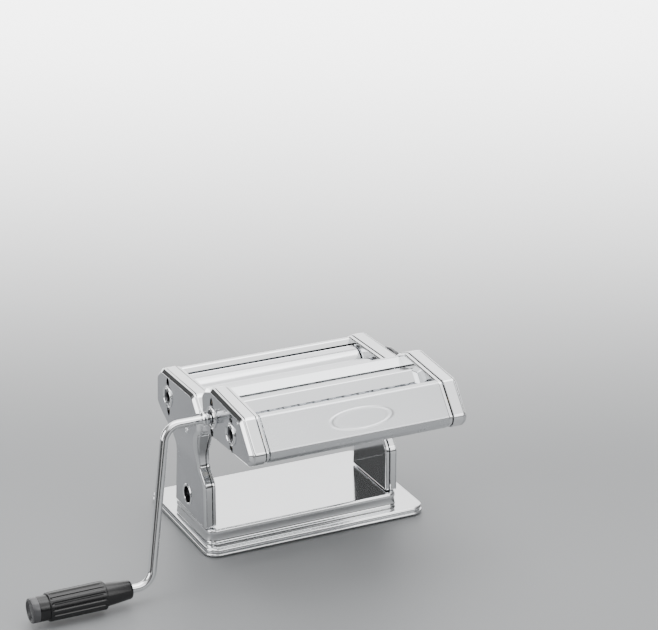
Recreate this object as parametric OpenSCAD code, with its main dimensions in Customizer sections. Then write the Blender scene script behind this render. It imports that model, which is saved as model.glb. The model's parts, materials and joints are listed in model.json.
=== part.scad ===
// Pasta roller machine: a base with two legs, a head with two smooth rollers,
// a lift-off attachment with a wide and a narrow cutter pair, and a hand crank.
// X runs along the rollers, -Y is the cutter side, +Z is up. The origin is the
// centre of the base plate at table level.

/* [Base] */
// Height of the base deck above the table
base_h = 8; // [7:0.5:12]
// Corner radius of the base plate
base_corner_r = 12; // [8:1:20]
// Base plate beyond the crank-side leg
base_margin_left = 2; // [1:0.5:25]
// Base plate beyond the knob-side leg
base_margin_right = 22; // [1:0.5:40]
// Base plate in front of the pedestal
base_margin_front = 6.5; // [4:0.5:30]
// Base plate behind the pedestal
base_margin_rear = 47.5; // [20:0.5:80]
// Gap between the rolled rim and the table
foot_proud = 1.2; // [0.5:0.1:2]
// Diameter of a rubber foot
foot_d = 14; // [10:1:16]
// Height of the pedestal above the deck
pedestal_h = 14; // [10:1:20]

/* [Legs] */
// Height of the straight part of a leg
leg_h = 53; // [40:1:70]
// Depth of a leg at its foot
leg_depth = 65; // [60:1:80]
// Depth of the clamp hole's centre behind the leg's front edge
clamp_inset = 36; // [28:1:44]
// Radius of the clamp hole
clamp_r = 7; // [4:0.5:8]

/* [Head] */
// Length of the rollers between the side frames
roller_w = 154; // [120:1:190]
// Diameter of a smooth roller
roller_d = 30; // [26:0.5:36]
// Smallest gap between the smooth rollers
nip_min = 0.2; // [0.2:0.1:0.6]
// Travel of the moving roller
nip_travel = 2.4; // [1:0.1:2.6]
// Depth of a side cover beyond its side frame
cover_depth = 13; // [12:0.5:18]
// Thickness of the pressed sheet
sheet = 1.2; // [0.8:0.1:1.6]

/* [Cutters] */
// Diameter over the cutting discs
cutter_d = 19; // [17:0.5:24]
// Depth by which the discs of a pair pass each other
cutter_bite = 1.4; // [0.8:0.1:2]
// Width of a wide noodle
wide_strip = 6.5; // [4:0.5:12]
// Width of a narrow noodle
narrow_strip = 2; // [1.6:0.1:3.5]
// Gap between the two cutter pairs
pair_gap = 1.4; // [1.2:0.2:6]

/* [Crank and knob] */
// Diameter of the crank rod
rod_d = 7; // [6:0.5:8]
// Distance of the grip from the crank's turning axis
crank_arm = 124; // [90:1:126]
// Length of the grip
grip_len = 83; // [70:1:100]
// Diameter of the grip's barrel
grip_d = 23; // [20:0.5:24]
// Diameter of the thickness knob
knob_d = 34; // [28:1:40]

/* [Clearances] */
// Radial clearance of a turning fit
run_fit = 0.05; // [0.02:0.01:0.1]
// Gap between faces that slide or pass each other
slide_gap = 0.3; // [0.2:0.05:0.5]

/* [Hidden] */
$fn = 48;

// Distances from the body's middle plane, outwards along X
frame_in = roller_w / 2;
frame_t = 1.5;
frame_flange = 3;
cover_seam = 1;
cover_in = frame_in + frame_flange + cover_seam;
head_out = cover_in + cover_depth;
leg_out = head_out - 6;
gear_in = frame_in + frame_t + 4.5;
gear_w = 6;

// Base
base_w = 2 * leg_out + base_margin_left + base_margin_right;
pedestal_d = leg_depth + 12;
base_d = pedestal_d + base_margin_front + base_margin_rear;
body_x = (base_margin_left - base_margin_right) / 2;
body_y = (base_margin_front - base_margin_rear) / 2;
seam_z = base_h + pedestal_h;
crease_z = seam_z + leg_h;

// Head
roller_r = roller_d / 2;
axis_gap = roller_d + nip_min;
fixed_y = body_y + 9.8 + axis_gap / 2;
moving_y = fixed_y - axis_gap;
roller_z = crease_z + 28.7 + roller_r;
head_front = moving_y - roller_r - 18.2;
head_rear = fixed_y + roller_r + 12.2;
head_top = roller_z + roller_r + 6.3;
head_low = roller_z - roller_r - 6.7;
leg_front = body_y - leg_depth / 2 - 1;
leg_rear = leg_front + leg_depth;
clamp_y = leg_front + clamp_inset;
clamp_z = seam_z + 17;
bush_r = 8;
big_shaft_r = 6;
socket_r = rod_d / 2 + run_fit;
head_rod_y = [head_front + 12, head_rear - 8];
head_rod_z = roller_z - 6;
rod_hole_r = 2.5;

// Cutter attachment
cutter_r = cutter_d / 2;
cutter_gap = cutter_d - cutter_bite;
core_r = cutter_gap - cutter_r - slide_gap;
wide_y = head_front - 28;
wide_z = roller_z + 17.3;
narrow_y = wide_y - cutter_gap - cutter_d - pair_gap;
narrow_z = wide_z + 1;
small_shaft_r = 4;
cut_rear = wide_y + cutter_r + 13.5;
cut_front = narrow_y - cutter_gap - cutter_r - 10.4;
cut_top = wide_z + cutter_r + 14.5;
cut_low = wide_z - cutter_r - 9.5;
cut_rods = [[wide_y + 13, wide_z - 12], [narrow_y + 10.2, narrow_z - 14],
            [narrow_y - cutter_gap + 1, narrow_z - 14.5]];
rail_gap = 16;

// Crank
crank_reach = 39;
spindle = 17;
crank_bend = 14;
crank_splay = 11;
crank_lean = 10;
swell = 0.1;
weld = 0.3;

// Unit vector, and the outward normal of a counter-clockwise edge
function unit(v) = v / norm(v);
function normal(a, b) = let (u = unit(b - a)) [u[1], -u[0]];

// A closed outline moved inwards by d
function inset(p, d) = let (n = len(p)) [
    for (i = [0 : n - 1])
        let (m = normal(p[(i + n - 1) % n], p[i]), k = normal(p[i], p[(i + 1) % n]))
        p[i] - d * (m + k) / (1 + m * k)
];

// The corner b of a path a-b-c as an arc of radius r
function corner(a, b, c, r) =
    let (
        u = unit(a - b), v = unit(c - b), half = acos(u * v) / 2,
        mid = b + unit(u + v) * r / sin(half),
        start = b + u * r / tan(half) - mid,
        a0 = atan2(start[1], start[0]),
        turn = sign(cross(b - a, c - b)) * (180 - 2 * half),
        steps = max(2, ceil(abs(turn) / 15))
    )
    [for (k = [0 : steps]) let (t = a0 + turn * k / steps) mid + r * [cos(t), sin(t)]];

// A closed outline with every corner rounded
function rounded(p, r) = let (n = len(p)) [
    for (i = [0 : n - 1]) each corner(p[(i + n - 1) % n], p[i], p[(i + 1) % n], r)
];

// A sheet of thickness t folded along an open path
function folded(p, t) =
    let (
        n = len(p),
        side = [
            for (i = [0 : n - 1])
                let (
                    m = i == 0 ? normal(p[0], p[1]) : normal(p[i - 1], p[i]),
                    k = i == n - 1 ? m : normal(p[i], p[i + 1])
                )
                (m + k) / (1 + m * k) * t / 2
        ]
    )
    concat([for (i = [0 : n - 1]) p[i] + side[i]],
           [for (i = [n - 1 : -1 : 0]) p[i] - side[i]]);

// Outline of the head, seen from the knob side
function head_outline() = [
    [head_front + 1, head_low + 13], [head_front + 12, head_low + 6],
    [fixed_y + 2, head_low], [head_rear - 6, head_low + 2], [head_rear, head_low + 9],
    [head_rear - 1.5, head_top - 10], [head_rear - 12, head_top - 1.5],
    [head_front + 13, head_top], [head_front + 1, head_top - 13]
];

// Outline of a leg from its foot to the height top_z, narrowest at the crease
function leg_outline(top_z) = [
    [leg_front, seam_z], [leg_rear, seam_z],
    [leg_rear - 4.5, crease_z - 6], [leg_rear - 3, crease_z + 9],
    [head_rear - 9, head_low + 3], [head_rear - 12, top_z], [head_front + 7, top_z],
    [head_front + 5, head_low + 14], [leg_front + 12, crease_z + 9],
    [leg_front + 12, crease_z - 2], [leg_front, crease_z - 14]
];

// Outline of the cutter attachment
function cutter_outline() = [
    [cut_front + 0.5, cut_low + 10], [cut_front + 7, cut_low + 4],
    [cut_rear - 15, cut_low], [cut_rear - 3.5, cut_low + 5.5],
    [cut_rear, cut_top - 12], [cut_rear - 7, cut_top - 5], [cut_rear - 20, cut_top],
    [cut_front + 20, cut_top - 3.5], [cut_front, cut_low + 16]
];

// An outline given as (Y, Z), made solid from x0 to x1
module along_x(x0, x1) {
    translate([x0, 0, 0]) rotate([90, 0, 90]) linear_extrude(x1 - x0) children();
}

// A round bar along X, given by the (Y, Z) of its axis
module bar_x(x0, x1, r, y, z) {
    translate([x0, y, z]) rotate([0, 90, 0]) cylinder(h = x1 - x0, r = r);
}

// Places a part drawn for the knob side (s = 1), or its mirror image (s = -1)
module on_side(s) {
    translate([body_x, 0, 0]) mirror([s < 0 ? 1 : 0, 0, 0]) children();
}

// A rectangle with round corners, centred
module round_rect(w, d, r) {
    square([w - 2 * r, d], center = true);
    square([w, d - 2 * r], center = true);
    for (x = [-1, 1], y = [-1, 1])
        translate([x * (w / 2 - r), y * (d / 2 - r)]) circle(r);
}

module slab(w, d, r, z0, z1) {
    translate([0, 0, z0]) linear_extrude(z1 - z0) round_rect(w, d, r);
}

// ---------------------------------------------------------------- base

// Pressed plate: a deck over a rim of two beads with a groove between them
module base_plate() {
    color("gainsboro") difference() {
        union() {
            slab(base_w, base_d, base_corner_r, foot_proud, foot_proud + 2.4);
            slab(base_w - 3, base_d - 3, base_corner_r - 1.5, foot_proud, base_h - 2.6);
            slab(base_w - 0.8, base_d - 0.8, base_corner_r - 0.4, base_h - 3, base_h - 0.8);
            slab(base_w - 2.4, base_d - 2.4, base_corner_r - 1.2, base_h - 2, base_h);
        }
        slab(base_w - 6, base_d - 6, base_corner_r - 3, 0, base_h - sheet);
    }
}

module rubber_feet() {
    color("dimgray")
        for (x = [-1, 1], y = [-1, 1])
            translate([x * (base_w / 2 - foot_d / 2 - 4), y * (base_d / 2 - foot_d / 2 - 4), 0])
                cylinder(h = base_h - sheet, d = foot_d);
}

// Hollow platform that the legs stand on
module pedestal() {
    w = 2 * leg_out - 2;
    color("silver") translate([body_x, body_y, 0]) difference() {
        slab(w, pedestal_d, 9, base_h, seam_z);
        slab(w - 2 * sheet, pedestal_d - 2 * sheet, 9 - sheet, base_h - 1, seam_z - sheet);
    }
}

// ---------------------------------------------------------------- side frames and covers

module frame_shape(d) {
    polygon(rounded(inset(leg_outline(roller_z), d + 0.8), 3));
    polygon(rounded(inset(head_outline(), d + 0.8), 4));
}

// Pressed side frame: a flat plate with an outward flange round its edge
module side_frame(s) {
    color("lightgray") on_side(s) difference() {
        along_x(frame_in, frame_in + frame_flange) frame_shape(0);
        along_x(frame_in + frame_t, frame_in + frame_flange + 1) frame_shape(sheet);
        bar_x(frame_in - 1, frame_in + 5, bush_r, fixed_y, roller_z);
        translate([frame_in - 1, moving_y - nip_travel - bush_r - run_fit, roller_z - bush_r - run_fit])
            cube([6, nip_travel + 2 * bush_r + 2 * run_fit, 2 * bush_r + 2 * run_fit]);
        for (y = head_rod_y) bar_x(frame_in - 1, frame_in + 5, rod_hole_r, y, head_rod_z);
        if (s < 0) bar_x(frame_in - 1, frame_in + 5, clamp_r, clamp_y, clamp_z);
    }
}
module side_frame_left() { side_frame(-1); }
module side_frame_right() { side_frame(1); }

// Removes what lies outside the leg plane, the flare and the head plane
module flare_cut(x_leg, x_head) {
    translate([0, head_rear + 20, 0]) rotate([90, 0, 0]) linear_extrude(head_rear - head_front + 40)
        polygon([[x_leg, 0], [x_leg, crease_z], [x_head, head_low + 4],
                 [x_head + 20, head_low + 4], [x_head + 20, 0]]);
}

// Holes of a crank socket and the two slots beside it
module socket_holes(y, z) {
    bar_x(head_out - 5, head_out + 1, big_shaft_r + slide_gap, y, z);
    for (dz = [-12.5, 12.5])
        along_x(head_out - 5, head_out + 1) translate([y, z + dz]) {
            square([3.4, 3], center = true);
            for (k = [-1, 1]) translate([0, 1.5 * k]) circle(1.7);
        }
}

// Outer cover: leg and head pressed from one sheet, flaring from the leg to the head
module side_cover(s) {
    color("whitesmoke") on_side(s) difference() {
        along_x(cover_in, head_out) {
            polygon(rounded(leg_outline(head_low + 20), 5));
            polygon(rounded(head_outline(), 6));
        }
        flare_cut(leg_out, head_out);
        difference() {
            along_x(cover_in - 1, head_out - sheet) {
                polygon(rounded(inset(leg_outline(head_low + 20), sheet), 5));
                polygon(rounded(inset(head_outline(), sheet), 5));
            }
            flare_cut(leg_out - sheet, head_out - sheet);
        }
        if (s < 0) {
            socket_holes(fixed_y, roller_z);
            bar_x(cover_in, head_out + 1, clamp_r + 1.5, clamp_y, clamp_z);
        }
        if (s > 0) bar_x(cover_in, head_out + 1, 7, moving_y, roller_z);
    }
}
module side_cover_left() { side_cover(-1); }
module side_cover_right() { side_cover(1); }

// Spacers that hold each cover on its side frame
module cover_posts() {
    spots = [[head_front + 9.5, head_top - 13], [head_rear - 9.3, head_top - 10.4],
             [body_y + 9, head_low + 6.7]];
    color("gray") for (s = [-1, 1]) on_side(s)
        for (p = spots) bar_x(frame_in + frame_t, head_out - sheet, 2.5, p[0], p[1]);
}

// Small round screws low on the head; the knob-side one is clear of the dial
module cover_screws() {
    color("silver") {
        on_side(-1) bar_x(head_out, head_out + 0.8, 2.5, body_y - 14, head_low + 7);
        on_side(1) bar_x(head_out, head_out + 0.8, 2.5, fixed_y + 5, head_low + 8);
    }
}

// Sleeve in the crank-side leg that takes the pin of a table clamp
module clamp_socket() {
    color("silver") on_side(-1) difference() {
        union() {
            bar_x(frame_in + frame_t, leg_out, clamp_r + 1.4, clamp_y, clamp_z);
            bar_x(leg_out, leg_out + 0.8, clamp_r + 2.2, clamp_y, clamp_z);
        }
        bar_x(frame_in, leg_out + 1, clamp_r, clamp_y, clamp_z);
    }
}

module tie_rods() {
    color("darkgray") translate([body_x, 0, 0]) for (y = head_rod_y)
        bar_x(-frame_in - 6, frame_in + 6, rod_hole_r, y, head_rod_z);
}

module tie_rod_nuts() {
    color("gray") for (s = [-1, 1]) on_side(s) for (y = head_rod_y)
        difference() {
            translate([frame_in + frame_t, y, head_rod_z]) rotate([0, 90, 0])
                cylinder(h = 3.5, r = 4.5, $fn = 6);
            bar_x(frame_in, frame_in + 7, rod_hole_r, y, head_rod_z);
        }
}

// ---------------------------------------------------------------- head

module sheet_between_frames(path) {
    translate([body_x, 0, 0]) along_x(-frame_in, frame_in) polygon(folded(path, sheet));
}

// Sheet behind the rollers that slopes into the nip
module rear_hopper_plate() {
    color("gainsboro") sheet_between_frames([
        [head_rear - 9, head_low + 4], [head_rear - 2.5, head_low + 11],
        [head_rear - 4, head_top - 11], [head_rear - 13, head_top - 3],
        [fixed_y + roller_r * 0.7, roller_z + roller_r * 0.72 + 2.4]
    ]);
}

// Sheet in front of the rollers, with a rounded top edge
module front_guide_plate() {
    color("gainsboro") sheet_between_frames([
        [head_front + 3.5, head_low + 20], [head_front + 3.5, head_top - 14],
        [head_front + 13, head_top - 2.5],
        [moving_y - nip_travel - roller_r * 0.72, roller_z + roller_r * 0.72 + 3.2]
    ]);
}

// Thin blades under the rollers, clear of the moving roller over its travel
module smooth_scrapers() {
    color("ivory") translate([body_x, 0, 0]) for (p = [[fixed_y, -52, 0.6], [moving_y, -128, 2.4]])
        translate([-frame_in, p[0], roller_z]) rotate([p[1], 0, 0])
            translate([0, roller_r + p[2], -0.6]) cube([2 * frame_in, 7, 1.2]);
}

module fixed_roller_bushes() {
    color("goldenrod") for (s = [-1, 1]) on_side(s) difference() {
        union() {
            bar_x(frame_in, frame_in + frame_t, bush_r, fixed_y, roller_z);
            bar_x(frame_in + frame_t, frame_in + frame_t + 2, bush_r + 2, fixed_y, roller_z);
        }
        bar_x(frame_in - 1, frame_in + 7, big_shaft_r + run_fit, fixed_y, roller_z);
    }
}

module socket_ring(y, z) {
    difference() {
        bar_x(head_out, head_out + 1, big_shaft_r + 3, y, z);
        bar_x(head_out - 1, head_out + 2, big_shaft_r + slide_gap, y, z);
    }
}

module head_socket_ring() {
    color("silver") on_side(-1) socket_ring(fixed_y, roller_z);
}

// Disc on the knob-side cover, with the groove that the index pin follows
module thickness_dial() {
    color("dimgray") on_side(1) difference() {
        bar_x(head_out, head_out + 3, knob_d / 2 + 4, moving_y, roller_z);
        bar_x(head_out - 1, head_out + 4, 7, moving_y, roller_z);
        difference() {
            bar_x(head_out + 1, head_out + 4, knob_d / 2 - 2, moving_y, roller_z);
            bar_x(head_out, head_out + 5, knob_d / 2 - 6, moving_y, roller_z);
        }
    }
}

// Bush in the knob-side cover that carries the knob's shaft
module knob_bearing() {
    color("goldenrod") on_side(1) difference() {
        union() {
            bar_x(head_out - sheet, head_out + 3, 7, moving_y, roller_z);
            bar_x(head_out - sheet - 2, head_out - sheet, 9, moving_y, roller_z);
        }
        bar_x(head_out - 5, head_out + 4, 4 + run_fit, moving_y, roller_z);
    }
}

// Upright T-rails on the front edges of the side frames
module cutter_rails() {
    color("silver") for (s = [-1, 1]) on_side(s)
        translate([frame_in - 10, head_front - 6, head_low + 16]) {
            translate([2, 2, 0]) cube([3, 6, rail_gap]);
            cube([7, 2, rail_gap]);
            translate([2, 7, 0]) cube([8, 1.5, rail_gap]);
        }
}

// ---------------------------------------------------------------- gears

function involute(r, t) = r * [cos(t) + t * PI / 180 * sin(t), sin(t) - t * PI / 180 * cos(t)];

// Spur gear along X with thinned involute teeth; mesh_r is its share of the axis distance
module gear(x0, y, z, teeth, mesh_r, reach, bore_r, turn) {
    pressure = 25;
    base_r = mesh_r * cos(pressure);
    thin = 0.35;
    half = 90 / teeth - thin / mesh_r * 90 / PI;
    skew = tan(pressure) * 180 / PI - pressure;
    t_end = sqrt(pow((mesh_r + reach) / base_r, 2) - 1) * 180 / PI;
    steps = 5;
    flank = [for (k = [0 : steps]) involute(base_r, t_end * k / steps)];
    lean = half + skew;
    root_r = mesh_r - reach - 0.3;
    translate([x0, y, z]) rotate([90, 0, 90]) rotate(turn) difference() {
        linear_extrude(gear_w) union() {
            circle(root_r);
            for (i = [0 : teeth - 1]) rotate(360 * i / teeth) polygon(concat(
                [root_r * 0.9 * [cos(lean), -sin(lean)]],
                [for (p = flank) [p[0] * cos(lean) + p[1] * sin(lean),
                                  p[1] * cos(lean) - p[0] * sin(lean)]],
                [for (k = [steps : -1 : 0]) let (p = flank[k])
                    [p[0] * cos(lean) + p[1] * sin(lean),
                     p[0] * sin(lean) - p[1] * cos(lean)]],
                [root_r * 0.9 * [cos(lean), sin(lean)]]
            ));
        }
        translate([0, 0, -1]) cylinder(h = gear_w + 2, r = bore_r);
    }
}

// ---------------------------------------------------------------- smooth rollers

// Roller body with a stub shaft each side; the crank-side stub is a socket if asked for
module smooth_roller(y, stub_r, tip_left, tip_right, socket) {
    color("lightsteelblue") translate([body_x, 0, 0]) difference() {
        union() {
            bar_x(-frame_in + slide_gap, frame_in - slide_gap, roller_r, y, roller_z);
            bar_x(-tip_left, tip_right, stub_r, y, roller_z);
        }
        if (socket) bar_x(-tip_left - 1, -tip_left + 24, socket_r, y, roller_z);
    }
}

module fixed_roller() {
    smooth_roller(fixed_y, big_shaft_r, head_out + 0.5, frame_in + 5, true);
}
module moving_roller() {
    smooth_roller(moving_y, small_shaft_r, gear_in + gear_w + 1, frame_in + 5, false);
}
module fixed_roller_gear() {
    color("slategray") on_side(-1)
        gear(gear_in, fixed_y, roller_z, 14, axis_gap / 2, 2.5, big_shaft_r, 0);
}
module moving_roller_gear() {
    color("slategray") on_side(-1)
        gear(gear_in, moving_y, roller_z, 14, axis_gap / 2, 2.5, small_shaft_r, 180 / 14);
}

// Square bushes that slide in the side frames with the moving roller
module sliding_bushes() {
    color("goldenrod") for (s = [-1, 1]) on_side(s) difference() {
        union() {
            translate([frame_in, moving_y - bush_r, roller_z - bush_r])
                cube([frame_t + 2, 2 * bush_r, 2 * bush_r]);
            translate([frame_in + frame_t + run_fit, moving_y - bush_r, roller_z - bush_r - 2])
                cube([2 - run_fit, 2 * bush_r, 2 * bush_r + 4]);
        }
        bar_x(frame_in - 1, frame_in + 7, small_shaft_r + run_fit, moving_y, roller_z);
    }
}

// ---------------------------------------------------------------- thickness knob

// Shaft and cam behind the knob-side cover
module thickness_cam() {
    color("gray") on_side(1) {
        bar_x(head_out - sheet - 6, head_out - sheet - 2.5, 10, moving_y, roller_z);
        bar_x(head_out - sheet - 2.6, head_out + 18, 4, moving_y, roller_z);
    }
}

module thickness_knob() {
    color("black") on_side(1) difference() {
        union() {
            bar_x(head_out + 4, head_out + 7, knob_d / 2, moving_y, roller_z);
            bar_x(head_out + 7, head_out + 22, knob_d / 2 - 4, moving_y, roller_z);
            for (a = [0 : 30 : 330]) translate([head_out + 7, moving_y, roller_z])
                rotate([a, 0, 0]) translate([0, knob_d / 2 - 4.6, 0]) rotate([0, 90, 0])
                    cylinder(h = 14, r = 1.8);
        }
        bar_x(head_out + 3, head_out + 11, 4 + run_fit, moving_y, roller_z);
        bar_x(head_out + 10.9, head_out + 20, 6.5, moving_y, roller_z);
        bar_x(head_out + 3, head_out + 10, 1.5, moving_y, roller_z + knob_d / 2 - 4);
    }
}

module knob_index_pin() {
    color("silver") on_side(1)
        bar_x(head_out + 1 + slide_gap, head_out + 10, 1.5, moving_y, roller_z + knob_d / 2 - 4);
}

// Compression spring round the shaft inside the knob
module knob_spring() {
    color("silver") on_side(1) translate([head_out + 11, moving_y, roller_z]) rotate([0, 90, 0])
        for (k = [0 : 3]) translate([0, 0, 0.5 + 1.7 * k])
            rotate_extrude() translate([5.2, 0]) circle(r = 0.5, $fn = 16);
}

// Washer on the shaft's end that the spring bears on
module knob_retainer() {
    color("silver") on_side(1) difference() {
        bar_x(head_out + 17.4, head_out + 18.6, 6.2, moving_y, roller_z);
        bar_x(head_out + 17, head_out + 18, 4, moving_y, roller_z);
    }
}

// ---------------------------------------------------------------- cutter attachment

module cutter_frame(s) {
    color("lightgray") on_side(s) difference() {
        along_x(frame_in, frame_in + frame_flange) polygon(rounded(inset(cutter_outline(), 0.8), 4));
        along_x(frame_in + frame_t, frame_in + frame_flange + 1)
            polygon(rounded(inset(cutter_outline(), 0.8 + sheet), 3));
        bar_x(frame_in - 1, frame_in + 5, bush_r, wide_y, wide_z);
        bar_x(frame_in - 1, frame_in + 5, small_shaft_r + 2, wide_y - cutter_gap, wide_z);
        bar_x(frame_in - 1, frame_in + 5, bush_r, narrow_y, narrow_z);
        bar_x(frame_in - 1, frame_in + 5, small_shaft_r + 2, narrow_y - cutter_gap, narrow_z);
        for (p = cut_rods) bar_x(frame_in - 1, frame_in + 5, 2, p[0], p[1]);
    }
}
module cutter_frame_left() { cutter_frame(-1); }
module cutter_frame_right() { cutter_frame(1); }

module cutter_cover(s) {
    color("whitesmoke") on_side(s) difference() {
        along_x(cover_in, head_out) polygon(rounded(cutter_outline(), 6));
        along_x(cover_in - 1, head_out - sheet) polygon(rounded(inset(cutter_outline(), sheet), 5));
        if (s < 0) {
            socket_holes(wide_y, wide_z);
            socket_holes(narrow_y, narrow_z);
        }
    }
}
module cutter_cover_left() { cutter_cover(-1); }
module cutter_cover_right() { cutter_cover(1); }

// Inclined front with a rounded lip above and a turned-in edge below
module cutter_front_plate() {
    color("gainsboro") sheet_between_frames([
        [cut_front + 25, cut_top - 4.6], [cut_front + 20.4, cut_top - 4.4],
        [cut_front + 1.1, cut_low + 16], [cut_front + 1.8, cut_low + 10.5],
        [cut_front + 7.4, cut_low + 5.2], [cut_front + 13, cut_low + 4.6]
    ]);
}

// Folded sheet between the two slots, short of the side frames
module cutter_divider() {
    ridge_y = wide_y - cutter_gap - 1.5;
    color("gainsboro") translate([body_x, 0, 0]) along_x(-frame_in, frame_in) polygon(folded([
        [ridge_y + 11, cut_top - 8.5], [ridge_y, cut_top - 6],
        [ridge_y - 6.5, cut_top - 14]
    ], sheet));
}

module cutter_rear_guide() {
    color("gainsboro") sheet_between_frames([
        [cut_rear - 2, cut_low + 22], [cut_rear - 2.4, cut_top - 12.5],
        [cut_rear - 8.4, cut_top - 7], [wide_y + 4, wide_z + cutter_r + 2.4]
    ]);
}

module cutter_tie_rods() {
    color("darkgray") translate([body_x, 0, 0]) for (p = cut_rods)
        bar_x(-frame_in - 4, frame_in + 4, 2, p[0], p[1]);
}

module cutter_posts() {
    spots = [[cut_rear - 8.5, wide_z - 6], [cut_rear - 12, cut_top - 9], [cut_front + 22, cut_top - 8]];
    color("gray") for (s = [-1, 1]) on_side(s)
        for (p = spots) bar_x(frame_in + frame_t, head_out - sheet, 2, p[0], p[1]);
}

// Bearing bushes; the shaft with the crank socket has the larger one
module cutter_bushes() {
    color("goldenrod") for (s = [-1, 1]) on_side(s) for (p = [[wide_y, wide_z], [narrow_y, narrow_z]]) {
        difference() {
            bar_x(frame_in, frame_in + frame_t + 1.5, bush_r, p[0], p[1]);
            bar_x(frame_in - 1, frame_in + 7, big_shaft_r + run_fit, p[0], p[1]);
        }
        difference() {
            bar_x(frame_in, frame_in + frame_t + 1.5, small_shaft_r + 2, p[0] - cutter_gap, p[1]);
            bar_x(frame_in - 1, frame_in + 7, small_shaft_r + run_fit, p[0] - cutter_gap, p[1]);
        }
    }
}

module cutter_socket_rings() {
    color("silver") on_side(-1) {
        socket_ring(wide_y, wide_z);
        socket_ring(narrow_y, narrow_z);
    }
}

// Channels that hang on the head's rails
module cutter_hooks() {
    color("silver") for (s = [-1, 1]) on_side(s)
        translate([frame_in - 10 - slide_gap, head_front - 6 - slide_gap, head_low + 16])
            difference() {
                translate([-1.2, -1.5, 0]) cube([11.2 + slide_gap, 4.9, rail_gap]);
                translate([0, 0, -1]) cube([7 + 2 * slide_gap, 2 + 2 * slide_gap, rail_gap + 2]);
                translate([2, 1, -1]) cube([3 + 2 * slide_gap, 4, rail_gap + 2]);
            }
}

// Comb under one cutter: a bar with a finger in every groove
module comb(y, z, way, strip, first) {
    finger_top = z - core_r - 0.5;
    count = floor((2 * frame_in - 4) / strip);
    start = -count * strip / 2;
    translate([body_x, 0, 0]) {
        translate([-frame_in, way > 0 ? y + 6.5 : y - 9.5, finger_top - 2.6])
            cube([2 * frame_in, 3, 2.6]);
        for (k = [first : 2 : count - 1])
            translate([start + k * strip + 0.4, way > 0 ? y - 4 : y - 7, finger_top - 1.4])
                cube([strip - 0.8, 11, 1.4]);
    }
}
module wide_combs() {
    color("ivory") {
        comb(wide_y, wide_z, 1, wide_strip, 1);
        comb(wide_y - cutter_gap, wide_z, -1, wide_strip, 0);
    }
}
module narrow_combs() {
    color("ivory") {
        comb(narrow_y, narrow_z, 1, narrow_strip, 1);
        comb(narrow_y - cutter_gap, narrow_z, -1, narrow_strip, 0);
    }
}

// Small rivets at the top front corners
module cutter_rivets() {
    color("silver") for (s = [-1, 1]) on_side(s)
        bar_x(head_out, head_out + 0.6, 1.4, cut_front + 24, cut_top - 9);
}

// Cutter roller turned from one bar: discs on every second strip, then the two stub shafts
module cutter_roller(y, z, strip, first, stub_r, tip_left, tip_right, socket) {
    count = floor((2 * frame_in - 4) / strip);
    start = -count * strip / 2;
    lands = [for (k = [first : 2 : count - 1]) start + k * strip + 0.15];
    profile = concat(
        [[0, -tip_left], [stub_r, -tip_left], [stub_r, -frame_in + 1], [core_r, -frame_in + 1]],
        [for (x = lands) each [[core_r, x], [cutter_r, x],
                               [cutter_r, x + strip - 0.3], [core_r, x + strip - 0.3]]],
        [[core_r, frame_in - 1], [stub_r, frame_in - 1], [stub_r, tip_right], [0, tip_right]]
    );
    color("lightsteelblue") translate([body_x, y, z]) rotate([0, 90, 0]) difference() {
        rotate_extrude() polygon(profile);
        if (socket) translate([0, 0, -tip_left - 1]) cylinder(h = 25, r = socket_r);
    }
}
module wide_cutter_rear() {
    cutter_roller(wide_y, wide_z, wide_strip, 0, big_shaft_r, head_out + 0.5, frame_in + 4, true);
}
module wide_cutter_front() {
    cutter_roller(wide_y - cutter_gap, wide_z, wide_strip, 1, small_shaft_r,
                  gear_in + gear_w + 1, frame_in + 4, false);
}
module narrow_cutter_rear() {
    cutter_roller(narrow_y, narrow_z, narrow_strip, 0, big_shaft_r, head_out + 0.5,
                  gear_in + gear_w + 1, true);
}
module narrow_cutter_front() {
    cutter_roller(narrow_y - cutter_gap, narrow_z, narrow_strip, 1, small_shaft_r, frame_in + 4,
                  gear_in + gear_w + 1, false);
}

module cutter_gear(s, y, z, bore_r, turn) {
    color("slategray") on_side(s) gear(gear_in, y, z, 12, cutter_gap / 2, 1.3, bore_r, turn);
}
module wide_cutter_rear_gear() { cutter_gear(-1, wide_y, wide_z, big_shaft_r, 0); }
module wide_cutter_front_gear() {
    cutter_gear(-1, wide_y - cutter_gap, wide_z, small_shaft_r, 15);
}
module narrow_cutter_rear_gear() { cutter_gear(1, narrow_y, narrow_z, big_shaft_r, 0); }
module narrow_cutter_front_gear() {
    cutter_gear(1, narrow_y - cutter_gap, narrow_z, small_shaft_r, 15);
}

// ---------------------------------------------------------------- crank

// Half the tangent length of the two bends between the arm and the straight ends
crank_turn = 90 - crank_splay;
crank_tangent = crank_bend * tan(crank_turn / 2);
crank_x1 = head_out + crank_reach;
crank_x2 = crank_x1 + crank_arm * tan(crank_splay);
crank_x3 = crank_x2 + spindle - 2 + grip_len;

// Places the crank's own plane, X out along the shaft and Z down the arm, on the machine
module on_crank() {
    translate([body_x, wide_y, wide_z]) rotate([-crank_lean, 0, 0]) children();
}

// A bend in the crank's plane, from the angle start; it swells a little over the rod
module crank_elbow(x, z, start) {
    translate([x, 0, z]) rotate([90, 0, 0]) rotate(start)
        rotate_extrude(angle = crank_turn) translate([crank_bend, 0]) circle(d = rod_d + swell);
}

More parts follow.
